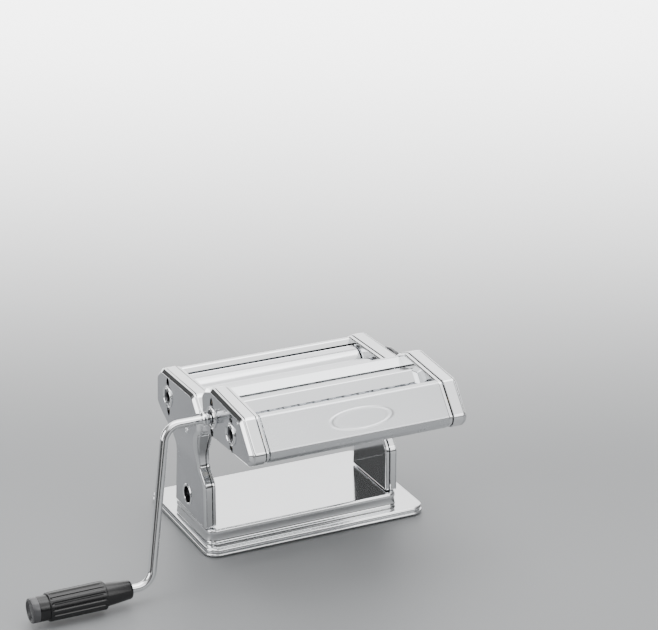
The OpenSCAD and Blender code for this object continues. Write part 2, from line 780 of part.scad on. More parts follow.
// One bent rod: socket end, arm and handle spindle
module crank_rod() {
    arm_len = crank_arm / cos(crank_splay) - 2 * crank_tangent;
    color("whitesmoke") on_crank() {
        bar_x(-crank_x1 + crank_tangent - weld, -(head_out - 20), rod_d / 2, 0, 0);
        crank_elbow(-crank_x1 + crank_tangent, -crank_bend, 90);
        translate([-crank_x1, 0, 0]) rotate([0, 180 + crank_splay, 0])
            translate([0, 0, crank_tangent - weld]) cylinder(h = arm_len + 2 * weld, d = rod_d);
        crank_elbow(-crank_x2 - crank_tangent, -crank_arm + crank_bend, -90);
        bar_x(-crank_x3, -crank_x2 - crank_tangent + weld, rod_d / 2, 0, -crank_arm);
    }
}

module crank_collar() {
    color("silver") translate([body_x, 0, 0]) difference() {
        bar_x(-head_out - 9, -head_out - 3, rod_d / 2 + 2.2, wide_y, wide_z);
        bar_x(-head_out - 10, -head_out - 2, rod_d / 2, wide_y, wide_z);
    }
}

// Places a part drawn along -X from the start of the handle
module on_handle() {
    on_crank() translate([-crank_x2, 0, -crank_arm]) children();
}

module crank_grip() {
    nose = spindle + 22;
    tail = spindle + grip_len;
    color("black") on_handle() rotate([0, -90, 0]) difference() {
        rotate_extrude() polygon([
            [0, nose - 22], [grip_d / 2 - 4.6, nose - 22], [grip_d / 2 - 4.0, nose - 21],
            [grip_d / 2 - 2.0, nose], [grip_d / 2, nose + 0.8],
            [grip_d / 2, tail - 14], [grip_d / 2 - 1.4, tail - 13],
            [grip_d / 2 - 1.4, tail - 6], [0, tail - 6]
        ]);
        for (a = [0 : 24 : 336]) rotate(a) translate([grip_d / 2 + 1.2, 0, nose + 2])
            cylinder(h = tail - nose - 17, r = 2.2);
        translate([0, 0, nose - 23]) cylinder(h = grip_len + 2, r = rod_d / 2 + run_fit);
    }
}

module grip_end_cap() {
    tail = spindle + grip_len;
    color("dimgray") on_handle() rotate([0, -90, 0]) difference() {
        translate([0, 0, tail - 6]) cylinder(h = 6, r = grip_d / 2 - 1.4);
        translate([0, 0, tail - 7]) cylinder(h = 6, r = rod_d / 2 + 2.5);
    }
}

// Rivet head on the rod's end that keeps the grip on
module grip_rivet() {
    tail = spindle + grip_len;
    color("silver") on_handle() rotate([0, -90, 0]) difference() {
        translate([0, 0, tail - 5.6]) cylinder(h = 3.6, r = rod_d / 2 + 1.8);
        translate([0, 0, tail - 7]) cylinder(h = 8, r = rod_d / 2);
    }
}

base_plate();
rubber_feet();
pedestal();
side_frame_left();
side_frame_right();
side_cover_left();
side_cover_right();
cover_posts();
cover_screws();
clamp_socket();
tie_rods();
tie_rod_nuts();
rear_hopper_plate();
front_guide_plate();
smooth_scrapers();
fixed_roller_bushes();
head_socket_ring();
thickness_dial();
knob_bearing();
cutter_rails();
fixed_roller();
fixed_roller_gear();
sliding_bushes();
moving_roller();
moving_roller_gear();
thickness_cam();
thickness_knob();
knob_index_pin();
knob_spring();
knob_retainer();
cutter_frame_left();
cutter_frame_right();
cutter_cover_left();
cutter_cover_right();
cutter_front_plate();
cutter_divider();
cutter_rear_guide();
cutter_tie_rods();
cutter_posts();
cutter_bushes();
cutter_socket_rings();
cutter_hooks();
wide_combs();
narrow_combs();
cutter_rivets();
wide_cutter_rear();
wide_cutter_rear_gear();
wide_cutter_front();
wide_cutter_front_gear();
narrow_cutter_rear();
narrow_cutter_rear_gear();
narrow_cutter_front();
narrow_cutter_front_gear();
crank_rod();
crank_collar();
crank_grip();
grip_end_cap();
grip_rivet();
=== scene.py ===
"""Visual model of a hand-cranked pasta roller machine, built round its CAD frame.

Lengths inside the classes are millimetres in the frame's axes: X along the rollers,
-Y towards the cutters, +Z up. They become metres when a mesh is made.
"""
import json
import logging
import math
from dataclasses import dataclass, field
from enum import Enum
from typing import Callable, Dict, List, Sequence, Tuple

import bmesh
import bpy
import numpy as np
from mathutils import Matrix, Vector


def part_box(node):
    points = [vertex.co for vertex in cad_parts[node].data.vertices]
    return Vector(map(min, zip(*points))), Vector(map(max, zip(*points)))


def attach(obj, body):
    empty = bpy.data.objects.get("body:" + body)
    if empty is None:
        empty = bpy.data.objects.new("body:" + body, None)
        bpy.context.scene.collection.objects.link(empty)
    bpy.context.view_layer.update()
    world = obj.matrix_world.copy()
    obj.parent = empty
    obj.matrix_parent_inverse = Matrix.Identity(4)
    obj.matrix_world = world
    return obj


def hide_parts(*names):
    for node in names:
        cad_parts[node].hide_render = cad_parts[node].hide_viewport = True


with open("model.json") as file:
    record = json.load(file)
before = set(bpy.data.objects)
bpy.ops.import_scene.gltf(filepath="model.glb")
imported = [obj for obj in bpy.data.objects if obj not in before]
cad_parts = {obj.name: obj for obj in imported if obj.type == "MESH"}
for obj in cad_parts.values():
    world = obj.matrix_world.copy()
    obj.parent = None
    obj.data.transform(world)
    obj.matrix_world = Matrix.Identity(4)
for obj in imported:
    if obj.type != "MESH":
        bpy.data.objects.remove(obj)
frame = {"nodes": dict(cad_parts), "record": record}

MM = 0.001
SMOOTH_BELOW = math.radians(32)
BROAD_ABOVE = 0.93
log = logging.getLogger("pasta_machine")
Array = np.ndarray
Colour = Tuple[float, float, float]
Point = Tuple[float, float]
Chooser = Callable[[Array, Array], Array]
Relief = Callable[[Array, Array], Array]


# ------------------------------------------------------------------ plane geometry


@dataclass(frozen=True)
class Box:
    """The lowest and highest corner of a CAD node, in millimetres."""

    lo: Array
    hi: Array

    @property
    def middle(self) -> Array:
        """The centre of the box."""
        return (self.lo + self.hi) / 2

    @property
    def size(self) -> Array:
        """The three side lengths."""
        return self.hi - self.lo


def read(items: bpy.types.bpy_prop_collection, name: str) -> Array:
    """One vector of every vertex or polygon, (n, 3).

    Args:
        items: the vertices or the polygons.
        name: the vector to read, such as co.

    Returns:
        One row for each item.
    """
    out = np.empty(len(items) * 3)
    items.foreach_get(name, out)
    return out.reshape(-1, 3)


def box_of(node: str) -> Box:
    """Reads a node's box from the frame.

    Args:
        node: the CAD node's name.

    Returns:
        Its box in millimetres.
    """
    lo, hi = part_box(node)
    return Box(np.array(lo) / MM, np.array(hi) / MM)


def unit(v: Array) -> Array:
    """Rows of v scaled to length one."""
    return v / np.linalg.norm(v, axis=-1, keepdims=True)


def rounded(corners: Sequence[Point], radius: float | Sequence[float],
            steps: int = 8) -> Array:
    """Rounds the corners of a closed counter-clockwise outline.

    Each corner becomes an arc that touches both of its edges: the arc's centre is on the
    corner's bisector, at radius / sin(half angle), and its points turn evenly round it.

    Args:
        corners: the outline's corners.
        radius: one radius, or one for each corner.
        steps: arc points per corner, less one.

    Returns:
        The points, (corners * (steps + 1), 2).
    """
    b = np.array(corners, float)
    r = np.broadcast_to(np.asarray(radius, float), (len(b),))[:, None]
    u, v = unit(np.roll(b, 1, 0) - b), unit(np.roll(b, -1, 0) - b)
    half = np.arccos(np.clip((u * v).sum(1), -1, 1))[:, None] / 2
    centre = b + unit(u + v) * r / np.sin(half)
    start = b + u * r / np.tan(half) - centre
    turn = np.pi - 2 * half
    convex = np.sign(-(u[:, :1] * v[:, 1:]) + u[:, 1:] * v[:, :1])
    t = turn * convex * np.linspace(0, 1, steps + 1)[None, :]
    c, s = np.cos(t), np.sin(t)
    x = start[:, :1] * c - start[:, 1:] * s
    y = start[:, :1] * s + start[:, 1:] * c
    return (np.stack([x, y], -1) + centre[:, None, :]).reshape(-1, 2)


@dataclass(frozen=True)
class Outline:
    """A closed counter-clockwise outline of straight edges joined by arcs."""

    corners: Tuple[Point, ...]
    radii: Tuple[float, ...]
    steps: int = 8

    def inset(self, d: float) -> "Outline":
        """The outline moved inwards by d.

        Each corner moves along its mitre. A convex arc loses d of its radius and a hollow
        one gains it, and a convex arc that is used up stays as a sharp corner.

        Args:
            d: the distance, outwards if negative.

        Returns:
            The new outline, with the same number of points.
        """
        b = np.array(self.corners, float)
        edge = unit(np.roll(b, -1, 0) - b)
        after = np.stack([edge[:, 1], -edge[:, 0]], 1)
        before = np.roll(after, 1, 0)
        moved = b - d * (before + after) / (1 + (before * after).sum(1, keepdims=True))
        bulge = np.sign(before[:, 0] * after[:, 1] - before[:, 1] * after[:, 0])
        radii = np.maximum(np.array(self.radii) - bulge * d, 2e-4)
        return Outline(tuple(map(tuple, moved.tolist())), tuple(radii.tolist()), self.steps)

    def points(self, d: float = 0.0) -> Array:
        """The outline's points, moved inwards by d."""
        o = self.inset(d) if d else self
        return rounded(o.corners, o.radii, o.steps)


def fold_path(corners: Sequence[Point], radius: float, steps: int = 6) -> Array:
    """An open path whose inner corners are arcs, for a sheet folded to that line.

    Args:
        corners: the fold line's corners, in order.
        radius: the bend radius at the middle of the sheet.
        steps: arc points per bend, less one.

    Returns:
        The path's points, (n, 2).
    """
    p = np.array(corners, float)
    parts: List[Array] = [p[:1]]
    for a, b, c in zip(p[:-2], p[1:-1], p[2:]):
        u, v = unit(a - b), unit(c - b)
        half = math.acos(float(np.clip(u @ v, -1, 1))) / 2
        reach = min(radius / math.tan(half), 0.45 * min(np.linalg.norm(a - b), np.linalg.norm(c - b)))
        r = reach * math.tan(half)
        centre = b + unit(u + v) * r / math.sin(half)
        q = b + u * reach - centre
        turn = (math.pi - 2 * half) * np.sign(u[1] * v[0] - u[0] * v[1])
        t = turn * np.linspace(0, 1, steps + 1)
        parts.append(centre + np.stack([q[0] * np.cos(t) - q[1] * np.sin(t),
                                        q[0] * np.sin(t) + q[1] * np.cos(t)], 1))
    parts.append(p[-1:])
    return np.concatenate(parts)


def arc(d0: float, x0: float, r: float, start: float, end: float, steps: int = 5) -> List[Point]:
    """Profile points of an arc that turns from running in depth (0 degrees) to inwards (90).

    At angle t the inset is d0 + r (cos start - cos t) and the depth x0 + r (sin t - sin start).

    Args:
        d0: the inset at the start.
        x0: the depth at the start.
        r: the arc's radius.
        start: the angle at the start, in degrees.
        end: the angle at the end.
        steps: points, less one.

    Returns:
        (inset, depth) pairs.
    """
    t = np.radians(np.linspace(start, end, steps + 1))
    a = math.radians(start)
    inset, depth = d0 + r * (math.cos(a) - np.cos(t)), x0 + r * (np.sin(t) - math.sin(a))
    return list(zip(inset.tolist(), depth.tolist()))


# ------------------------------------------------------------------ mesh making


def grid_faces(rows: int, cols: int, wrap: bool = False) -> Array:
    """Quads of a grid of rows by cols points; wrap joins the last column to the first.

    Args:
        rows: rows of points.
        cols: points in a row.
        wrap: whether the rows are closed.

    Returns:
        Four point numbers for each quad.
    """
    i = np.arange(rows - 1)[:, None]
    j = np.arange(cols if wrap else cols - 1)[None, :]
    k = (j + 1) % cols
    a, b = i * cols + j, i * cols + k
    return np.stack([a, b, b + cols, a + cols], -1).reshape(-1, 4)


@dataclass
class Surface:
    """Vertices in millimetres and faces as index lists."""

    verts: Array
    faces: List[Sequence[int]] = field(default_factory=list)

    def joined(self, other: "Surface") -> "Surface":
        """This surface and another one as a single surface.

        Args:
            other: the other surface.

        Returns:
            One surface.
        """
        n = len(self.verts)
        return Surface(np.concatenate([self.verts, other.verts]),
                       list(self.faces) + [[n + int(i) for i in f] for f in other.faces])

    def moved(self, offset: Sequence[float]) -> "Surface":
        """A copy shifted by offset."""
        return Surface(self.verts + np.array(offset, float), self.faces)


def join_all(surfaces: Sequence[Surface]) -> Surface:
    """Several surfaces as one.

    Args:
        surfaces: the surfaces.

    Returns:
        One surface.
    """
    out = surfaces[0]
    for s in surfaces[1:]:
        out = out.joined(s)
    return out


def stacked(loops: Array, cap_start: bool = True, cap_end: bool = True) -> Surface:
    """A skin over a stack of closed loops with equally many points.

    Args:
        loops: points, (loops, points, 3).
        cap_start: closes the first loop with one flat face.
        cap_end: closes the last loop with one flat face.

    Returns:
        The surface.
    """
    rows, cols = loops.shape[:2]
    faces: List[Sequence[int]] = grid_faces(rows, cols, wrap=True).tolist()
    if cap_start:
        faces.append(list(range(cols))[::-1])
    if cap_end:
        faces.append(list(range((rows - 1) * cols, rows * cols)))
    return Surface(loops.reshape(-1, 3), faces)


def pressed_shell(outline: Outline, profile: Sequence[Point], wall: float) -> Surface:
    """A pressed sheet: a face with a rim, open on the other side.

    The outline, inset by d and lifted to depth x for each (d, x) of the profile, gives the
    outer skin from the open edge to the face. The inner skin repeats it, inset by the wall
    more and no deeper than the face less the wall.

    Args:
        outline: closed (y, z) outline.
        profile: (inset, depth) pairs from the open edge to the face.
        wall: sheet thickness.

    Returns:
        A closed surface with X as the depth.
    """
    face = profile[-1][1]
    outer = list(profile) + [(profile[-1][0] + 0.5, face)]
    inner = [(max(d, profile[0][0]) + wall, min(x, face - wall)) for d, x in outer[::-1]]
    inner = [p for k, p in enumerate(inner) if k == 0 or p != inner[k - 1]]
    path = outer[::-1] + inner[::-1]
    rings = [(outline.points(d), x) for d, x in path]
    return stacked(np.stack([np.concatenate([np.full((len(p), 1), x), p], 1) for p, x in rings]))


def revolved(profile: Sequence[Point], segments: int = 64,
             swell: Relief | None = None) -> Surface:
    """Turns a profile of (position, radius) pairs round the X axis.

    Point (x, r) becomes (x, r cos a, r sin a) for evenly spaced angles a; swell may add to
    the radius as a function of position and angle, for flutes and knurls.

    Args:
        profile: (x, radius) pairs, the first and last of which are capped.
        segments: points round the axis.
        swell: optional radius change as a function of (x, a).

    Returns:
        A closed surface.
    """
    p = np.array(profile, float)
    a = np.linspace(0, 2 * np.pi, segments, endpoint=False)[None, :]
    x = np.repeat(p[:, :1], segments, 1)
    r = np.repeat(p[:, 1:], segments, 1)
    if swell is not None:
        r = r + swell(x, np.repeat(a, len(p), 0))
    return stacked(np.stack([x, r * np.cos(a), r * np.sin(a)], -1))


def tube(path: Array, radius: float, normal: Array, sides: int = 32) -> Surface:
    """A round tube along a flat path: each ring is cos a * normal + sin a * (tangent x normal).

    Args:
        path: the tube's axis, (n, 3).
        radius: its radius.
        normal: the normal of the path's plane.
        sides: points in a ring.

    Returns:
        A closed surface.
    """
    tangent = unit(np.gradient(path, axis=0))
    side = np.cross(tangent, normal)
    a = np.linspace(0, 2 * np.pi, sides, endpoint=False)
    ring = np.cos(a)[None, :, None] * normal + np.sin(a)[None, :, None] * side[:, None, :]
    return stacked(path[:, None, :] + radius * ring)


def folded_sheet(path: Array, wall: float, x0: float, x1: float, columns: int = 2,
                 relief: Relief | None = None) -> Surface:
    """A sheet folded along a (y, z) path and drawn out from x0 to x1.

    Point (x, s) of each skin is the path at length s, half a wall off along its normal,
    plus the relief there.

    Args:
        path: the open fold line.
        wall: sheet thickness.
        x0: first end.
        x1: last end.
        columns: points along X.
        relief: optional height as a function of x and of length along the path.

    Returns:
        A closed surface.
    """
    step = np.gradient(path, axis=0)
    normal = unit(np.stack([step[:, 1], -step[:, 0]], 1))
    length = np.concatenate([[0], np.cumsum(np.linalg.norm(np.diff(path, axis=0), axis=1))])
    x = np.linspace(x0, x1, columns)
    high = np.zeros((columns, len(path))) if relief is None else relief(x[:, None], length[None, :])
    skins = []
    for sign, order in ((1, slice(None)), (-1, slice(None, None, -1))):
        yz = path[None] + (high[..., None] + sign * wall / 2) * normal[None]
        skin = np.concatenate([np.broadcast_to(x[:, None, None], yz.shape[:2] + (1,)), yz], -1)
        skins.append(skin[:, order])
    return stacked(np.concatenate(skins, 1))


class Workshop:
    """Makes Blender pieces from surfaces, dresses them and mounts them on their bodies."""

    def __init__(self, palette: "Palette") -> None:
        """Starts with no piece made."""
        self.palette, self.count = palette, 0

    def mesh_object(self, name: str, surface: Surface) -> bpy.types.Object:
        """Makes a mesh object in metres, with its doubles merged and its faces outwards.

        Args:
            name: the object's name.
            surface: the shape in millimetres.

        Returns:
            The new object, linked to the scene.
        """
        mesh = bpy.data.meshes.new(name)
        mesh.from_pydata((surface.verts * MM).tolist(), [], [list(map(int, f)) for f in surface.faces])
        bm = bmesh.new()
        bm.from_mesh(mesh)
        bmesh.ops.remove_doubles(bm, verts=bm.verts, dist=1e-6)
        bmesh.ops.dissolve_degenerate(bm, edges=bm.edges, dist=1e-7)
        bmesh.ops.recalc_face_normals(bm, faces=bm.faces)
        bm.to_mesh(mesh)
        bm.free()
        obj = bpy.data.objects.new(name, mesh)
        bpy.context.scene.collection.objects.link(obj)
        return obj

    def drill(self, obj: bpy.types.Object, bits: Sequence[Surface]) -> None:
        """Cuts the bits out of a piece and keeps the result as its mesh.

        Args:
            obj: the piece.
            bits: closed surfaces to take away.
        """
        cutter = self.mesh_object(obj.name + "_bits", join_all(bits))
        cut = obj.modifiers.new("cut", "BOOLEAN")
        cut.operation, cut.solver, cut.object = "DIFFERENCE", "EXACT", cutter
        self.apply(obj)
        bpy.data.objects.remove(cutter, do_unlink=True)

    def bevel(self, obj: bpy.types.Object, width: float, segments: int = 2, angle: float = 40) -> None:
        """Rounds the sharp edges of a piece by width millimetres.

        Args:
            obj: the piece.
            width: how wide the rounding is.
            segments: faces across it.
            angle: the least angle of a sharp edge, in degrees.
        """
        mod = obj.modifiers.new("bevel", "BEVEL")
        mod.width, mod.segments, mod.limit_method = width * MM, segments, "ANGLE"
        mod.angle_limit = math.radians(angle)
        self.apply(obj)

    def apply(self, obj: bpy.types.Object) -> None:
        """Bakes a piece's modifiers into its mesh.

        Args:
            obj: the piece.
        """
        bpy.context.view_layer.update()
        graph = bpy.context.evaluated_depsgraph_get()
        mesh = bpy.data.meshes.new_from_object(obj.evaluated_get(graph))
        obj.modifiers.clear()
        obj.data = mesh

    def reshape(self, obj: bpy.types.Object, levels: Sequence[float],
                change: Callable[[Array], Array]) -> None:
        """Cuts a piece at heights and then moves its points.

        Args:
            obj: the piece.
            levels: heights in millimetres at which every face is split.
            change: takes and gives points in millimetres, (n, 3).
        """
        bm = bmesh.new()
        bm.from_mesh(obj.data)
        for z in levels:
            geom = bm.verts[:] + bm.edges[:] + bm.faces[:]
            bmesh.ops.bisect_plane(bm, geom=geom, plane_co=(0, 0, z * MM), plane_no=(0, 0, 1), dist=1e-7)
        bm.to_mesh(obj.data)
        bm.free()
        co = change(read(obj.data.vertices, "co") / MM) * MM
        obj.data.vertices.foreach_set("co", co.reshape(-1))
        obj.data.update()

    def finish(self, obj: bpy.types.Object, node: str, body: str, slot: str,
               second: str | None = None, where: Chooser | None = None) -> bpy.types.Object:
        """Shades, dresses and mounts a finished piece.

        Args:
            obj: the piece.
            node: the CAD node that it stands for.
            body: the CAD body that it rides on.
            slot: the record's material slot, which also names its finish.
            second: the name of a second finish.
            where: chooses the faces that have the second finish.

        Returns:
            The same piece.
        """
        mesh = obj.data
        mesh.materials.clear()
        mesh.materials.append(self.palette[slot])
        if second is not None and where is not None:
            mesh.materials.append(self.palette[second])
            chosen = where(read(mesh.polygons, "center") / MM, read(mesh.polygons, "normal"))
            mesh.polygons.foreach_set("material_index", chosen.astype(np.int32))
        mesh.polygons.foreach_set("use_smooth", np.ones(len(mesh.polygons), bool))
        mesh.set_sharp_from_angle(angle=SMOOTH_BELOW)
        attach(obj, body)
        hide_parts(node)
        self.count += 1
        log.info("piece %-26s on %-16s %6d faces", obj.name, body, len(mesh.polygons))
        return obj

    def piece(self, node: str, made: str, surface: Surface, body: str, slot: str) -> bpy.types.Object:
        """Makes and finishes a piece that needs no other work.

        Args:
            node: the CAD node that it stands for.
            made: how it was made, which ends its name.
            surface: its shape.
            body: the CAD body that it rides on.
            slot: its material slot.

        Returns:
            The piece.
        """
        return self.finish(self.mesh_object(f"{node}_{made}", surface), node, body, slot)


def broad(centre: Array, normal: Array) -> Array:
    """Chooses the faces that look along X, from every face's centre and normal."""
    return np.abs(normal[:, 0]) > BROAD_ABOVE


def inside(y: float, z: float, radius: float, below: float) -> Chooser:
    """Chooses the faces near an axis along X, on the crank side of a place.

    Args:
        y: the axis's place along Y.
        z: the axis's place along Z.
        radius: how far from the axis still counts.
        below: the place along X.

    Returns:
        A choice for Workshop.finish.
    """
    def choose(centre: Array, normal: Array) -> Array:
        """Which faces count, from every face's centre and normal."""
        off = np.hypot(centre[:, 1] - y, centre[:, 2] - z)
        return (off < radius) & (centre[:, 0] < below)
    return choose


# ------------------------------------------------------------------ finishes


class Value:
    """A number socket that builds Math nodes from Python arithmetic."""

    def __init__(self, nodes: "Nodes", socket: bpy.types.NodeSocket) -> None:
        """Wraps an output socket of a node tree."""
        self.nodes, self.socket = nodes, socket

    def _math(self, operation: str, first: "Value | float", second: "Value | float") -> "Value":
        """Adds one Math node and wraps its result."""
        made = self.nodes.node("ShaderNodeMath", {"operation": operation}, {0: first, 1: second})
        return Value(self.nodes, made.outputs[0])

    def __add__(self, other: "Value | float") -> "Value":
        """self + other."""
        return self._math("ADD", self, other)

    def __radd__(self, other: float) -> "Value":
        """other + self."""
        return self._math("ADD", other, self)

    def __sub__(self, other: "Value | float") -> "Value":
        """self - other."""
        return self._math("SUBTRACT", self, other)

    def __rsub__(self, other: float) -> "Value":
        """other - self."""
        return self._math("SUBTRACT", other, self)

    def __mul__(self, other: "Value | float") -> "Value":
        """self * other."""
        return self._math("MULTIPLY", self, other)

    def __rmul__(self, other: float) -> "Value":
        """other * self."""
        return self._math("MULTIPLY", other, self)

    def at_least(self, floor: float) -> "Value":
        """self, but no lower than floor."""
        return self._math("MAXIMUM", self, floor)


class Nodes:
    """A node tree, emptied, with the one method that adds nodes to it."""

    def __init__(self, tree: bpy.types.NodeTree) -> None:
        """Empties the tree."""
        self.tree = tree
        tree.nodes.clear()

    def node(self, kind: str, settings: Dict[str, object] | None = None,
             sockets: Dict[str | int, object] | None = None) -> bpy.types.Node:
        """Adds a node.

        Args:
            kind: the node's type.
            settings: its properties, or a ramp's stops as (place, colour) pairs; set first.
            sockets: values, Value objects or sockets for its inputs, by name or place.

        Returns:
            The node.
        """
        n = self.tree.nodes.new(kind)
        for key, value in (settings or {}).items():
            if key == "stops":
                ramp = n.color_ramp
                while len(ramp.elements) < len(value):
                    ramp.elements.new(1.0)
                for stop, (place, shade) in zip(ramp.elements, value):
                    stop.position, stop.color = place, (*shade, 1.0)
            else:
                setattr(n, key, value)
        for key, value in (sockets or {}).items():
            self.feed(n.inputs[key], value)
        return n

    def feed(self, slot: bpy.types.NodeSocket, value: object) -> None:
        """Links or sets one input socket.

        Args:
            slot: the input socket.
            value: a Value, a socket or a plain value.
        """
        if isinstance(value, Value):
            self.tree.links.new(value.socket, slot)
        elif isinstance(value, bpy.types.NodeSocket):
            self.tree.links.new(value, slot)
        else:
            slot.default_value = value

    def step(self, value: object, low: float, high: float) -> Value:
        """A smooth step of a value between low and high.

        Args:
            value: the value.
            low: where the step starts, at 0.
            high: where it ends, at 1.

        Returns:
            The stepped value.
        """
        made = self.node("ShaderNodeMapRange", {"interpolation_type": "SMOOTHSTEP"},
                         {"Value": value, "From Min": low, "From Max": high})
        return Value(self, made.outputs["Result"])

    def along(self, place: bpy.types.NodeSocket, way: Sequence[float]) -> Value:
        """How far a place lies along a direction: their dot product."""
        made = self.node("ShaderNodeVectorMath", {"operation": "DOT_PRODUCT"}, {0: place, 1: way})
        return Value(self, made.outputs["Value"])


class Shader(Nodes):
    """One material's node tree."""

    def __init__(self, name: str) -> None:
        """Starts an empty material with a Principled shader.

        Args:
            name: the material's name.
        """
        self.material = bpy.data.materials.new(name)
        self.material.use_nodes = True
        super().__init__(self.material.node_tree)
        self.surface = self.node("ShaderNodeBsdfPrincipled")
        self.node("ShaderNodeOutputMaterial", {}, {"Surface": self.surface.outputs["BSDF"]})

    def noise(self, scale: Tuple[float, float, float], detail: float = 3.0) -> Value:
        """Noise on Object coordinates, with its own scale along each axis in 1 / metre.

        Args:
            scale: how fast it varies along each axis.
            detail: its octaves.

        Returns:
            A value about 0.5.
        """
        place = self.node("ShaderNodeTexCoord")
        mapped = self.node("ShaderNodeMapping", {}, {"Vector": place.outputs["Object"], "Scale": scale})
        made = self.node("ShaderNodeTexNoise", {},
                         {"Vector": mapped.outputs["Vector"], "Scale": 1.0, "Detail": detail})
        return Value(self, made.outputs["Fac"])

    def edges(self, low: float, high: float) -> Value:
        """A mask that is 1 on convex edges and 0 elsewhere.

        Args:
            low: the pointiness of a face, at 0.
            high: the pointiness of an edge, at 1.

        Returns:
            The mask.
        """
        point = self.node("ShaderNodeNewGeometry").outputs["Pointiness"]
        shade = [(low, (0.0, 0.0, 0.0)), (high, (1.0, 1.0, 1.0))]
        ramp = self.node("ShaderNodeValToRGB", {"stops": shade}, {"Fac": point})
        return Value(self, ramp.outputs["Color"])

    def blend(self, mask: Value, first: Colour, second: Colour) -> bpy.types.NodeSocket:
        """Mixes two colours by a mask.

        Args:
            mask: 0 for the first colour, 1 for the second.
            first: the first colour.
            second: the second colour.

        Returns:
            The mixed colour.
        """
        mix = self.node("ShaderNodeMix", {"data_type": "RGBA"})
        self.feed(mix.inputs[0], mask)
        self.feed(mix.inputs[6], (*first, 1.0))
        self.feed(mix.inputs[7], (*second, 1.0))
        return mix.outputs[2]

    def bump(self, height: Value, strength: float, distance: float) -> bpy.types.NodeSocket:
        """A bumped normal from a height value; distance is in metres."""
        return self.node("ShaderNodeBump", {}, {"Height": height, "Strength": strength,
                                                "Distance": distance}).outputs["Normal"]


class Grain(Enum):
    """The way in which a metal was worked, as noise scales in 1 / metre."""

    ALONG = (8.0, 2600.0, 2600.0)
    ROUND = (2400.0, 14.0, 14.0)
    LENGTHWAYS = (1800.0, 10.0, 1800.0)
    EVEN = (900.0, 900.0, 900.0)


@dataclass(frozen=True)
class Metal:
    """A bare or plated metal: worked grain, handling marks and bright edges."""

    name: str
    colour: Colour
    roughness: float
    grain: Grain = Grain.EVEN
    grain_depth: float = 0.15
    smear: float = 0.06
    coat: float = 0.0

    def material(self) -> bpy.types.Material:
        """Builds the material: grain in the bump, smears in the roughness, polish on the edges.

        Returns:
            The material.
        """
        s = Shader(self.name)
        grain = s.noise(self.grain.value, 2.0)
        cloud = s.noise((38.0, 38.0, 38.0), 4.0)
        marks = s.noise((210.0, 160.0, 190.0), 6.0)
        edge = s.edges(0.505, 0.56)
        dull = tuple(c * 0.88 for c in self.colour)
        rough = self.roughness + (cloud - 0.5) * (2 * self.smear) + (grain - 0.5) * self.smear
        rough = rough + (marks - 0.5) * self.smear - edge * (0.4 * self.roughness)
        tone = cloud * 0.5 + grain * 0.3 + edge * 0.4
        s.feed(s.surface.inputs["Base Color"], s.blend(tone, dull, self.colour))
        s.feed(s.surface.inputs["Metallic"], 1.0)
        s.feed(s.surface.inputs["Roughness"], rough)
        s.feed(s.surface.inputs["Coat Weight"], self.coat)
        s.feed(s.surface.inputs["Normal"], s.bump(grain, self.grain_depth, 2e-5))
        return s.material


@dataclass(frozen=True)
class Moulded:
    """A moulded plastic or rubber: fine spark-eroded grain, slight mottling, and a painted sheen on its
    edges.
    """

    name: str
    colour: Colour
    # the lighter colour that the painted edge sheen and the mottling blend towards
    sheen_and_mottle_colour: Colour
    roughness: float
    grain_scale: float = 1800.0
    grain_depth: float = 0.25
    gloss_coat: float = 0.0

    def material(self) -> bpy.types.Material:
        """Builds the material: skin grain in the bump, mottling and a painted edge sheen in the colour.

        Returns:
            The material.
        """
        s = Shader(self.name)
        skin = s.noise((self.grain_scale,) * 3, 3.0)
        mottle = s.noise((70.0, 70.0, 70.0), 4.0)
        edge = s.edges(0.51, 0.58)
        rough = self.roughness + (mottle - 0.5) * 0.12 + (skin - 0.5) * 0.1 - edge * 0.08
        # Painted highlight: convex edges are drawn towards the lighter colour as a sheen; the mottling
        # adds real tone variation.
        sheen_and_mottle = edge * 0.6 + mottle * 0.25
        s.feed(s.surface.inputs["Base Color"], s.blend(sheen_and_mottle, self.colour, self.sheen_and_mottle_colour))
        s.feed(s.surface.inputs["Roughness"], rough)
        s.feed(s.surface.inputs["Coat Weight"], self.gloss_coat)
        s.feed(s.surface.inputs["Normal"], s.bump(skin, self.grain_depth, 4e-5))
        return s.material


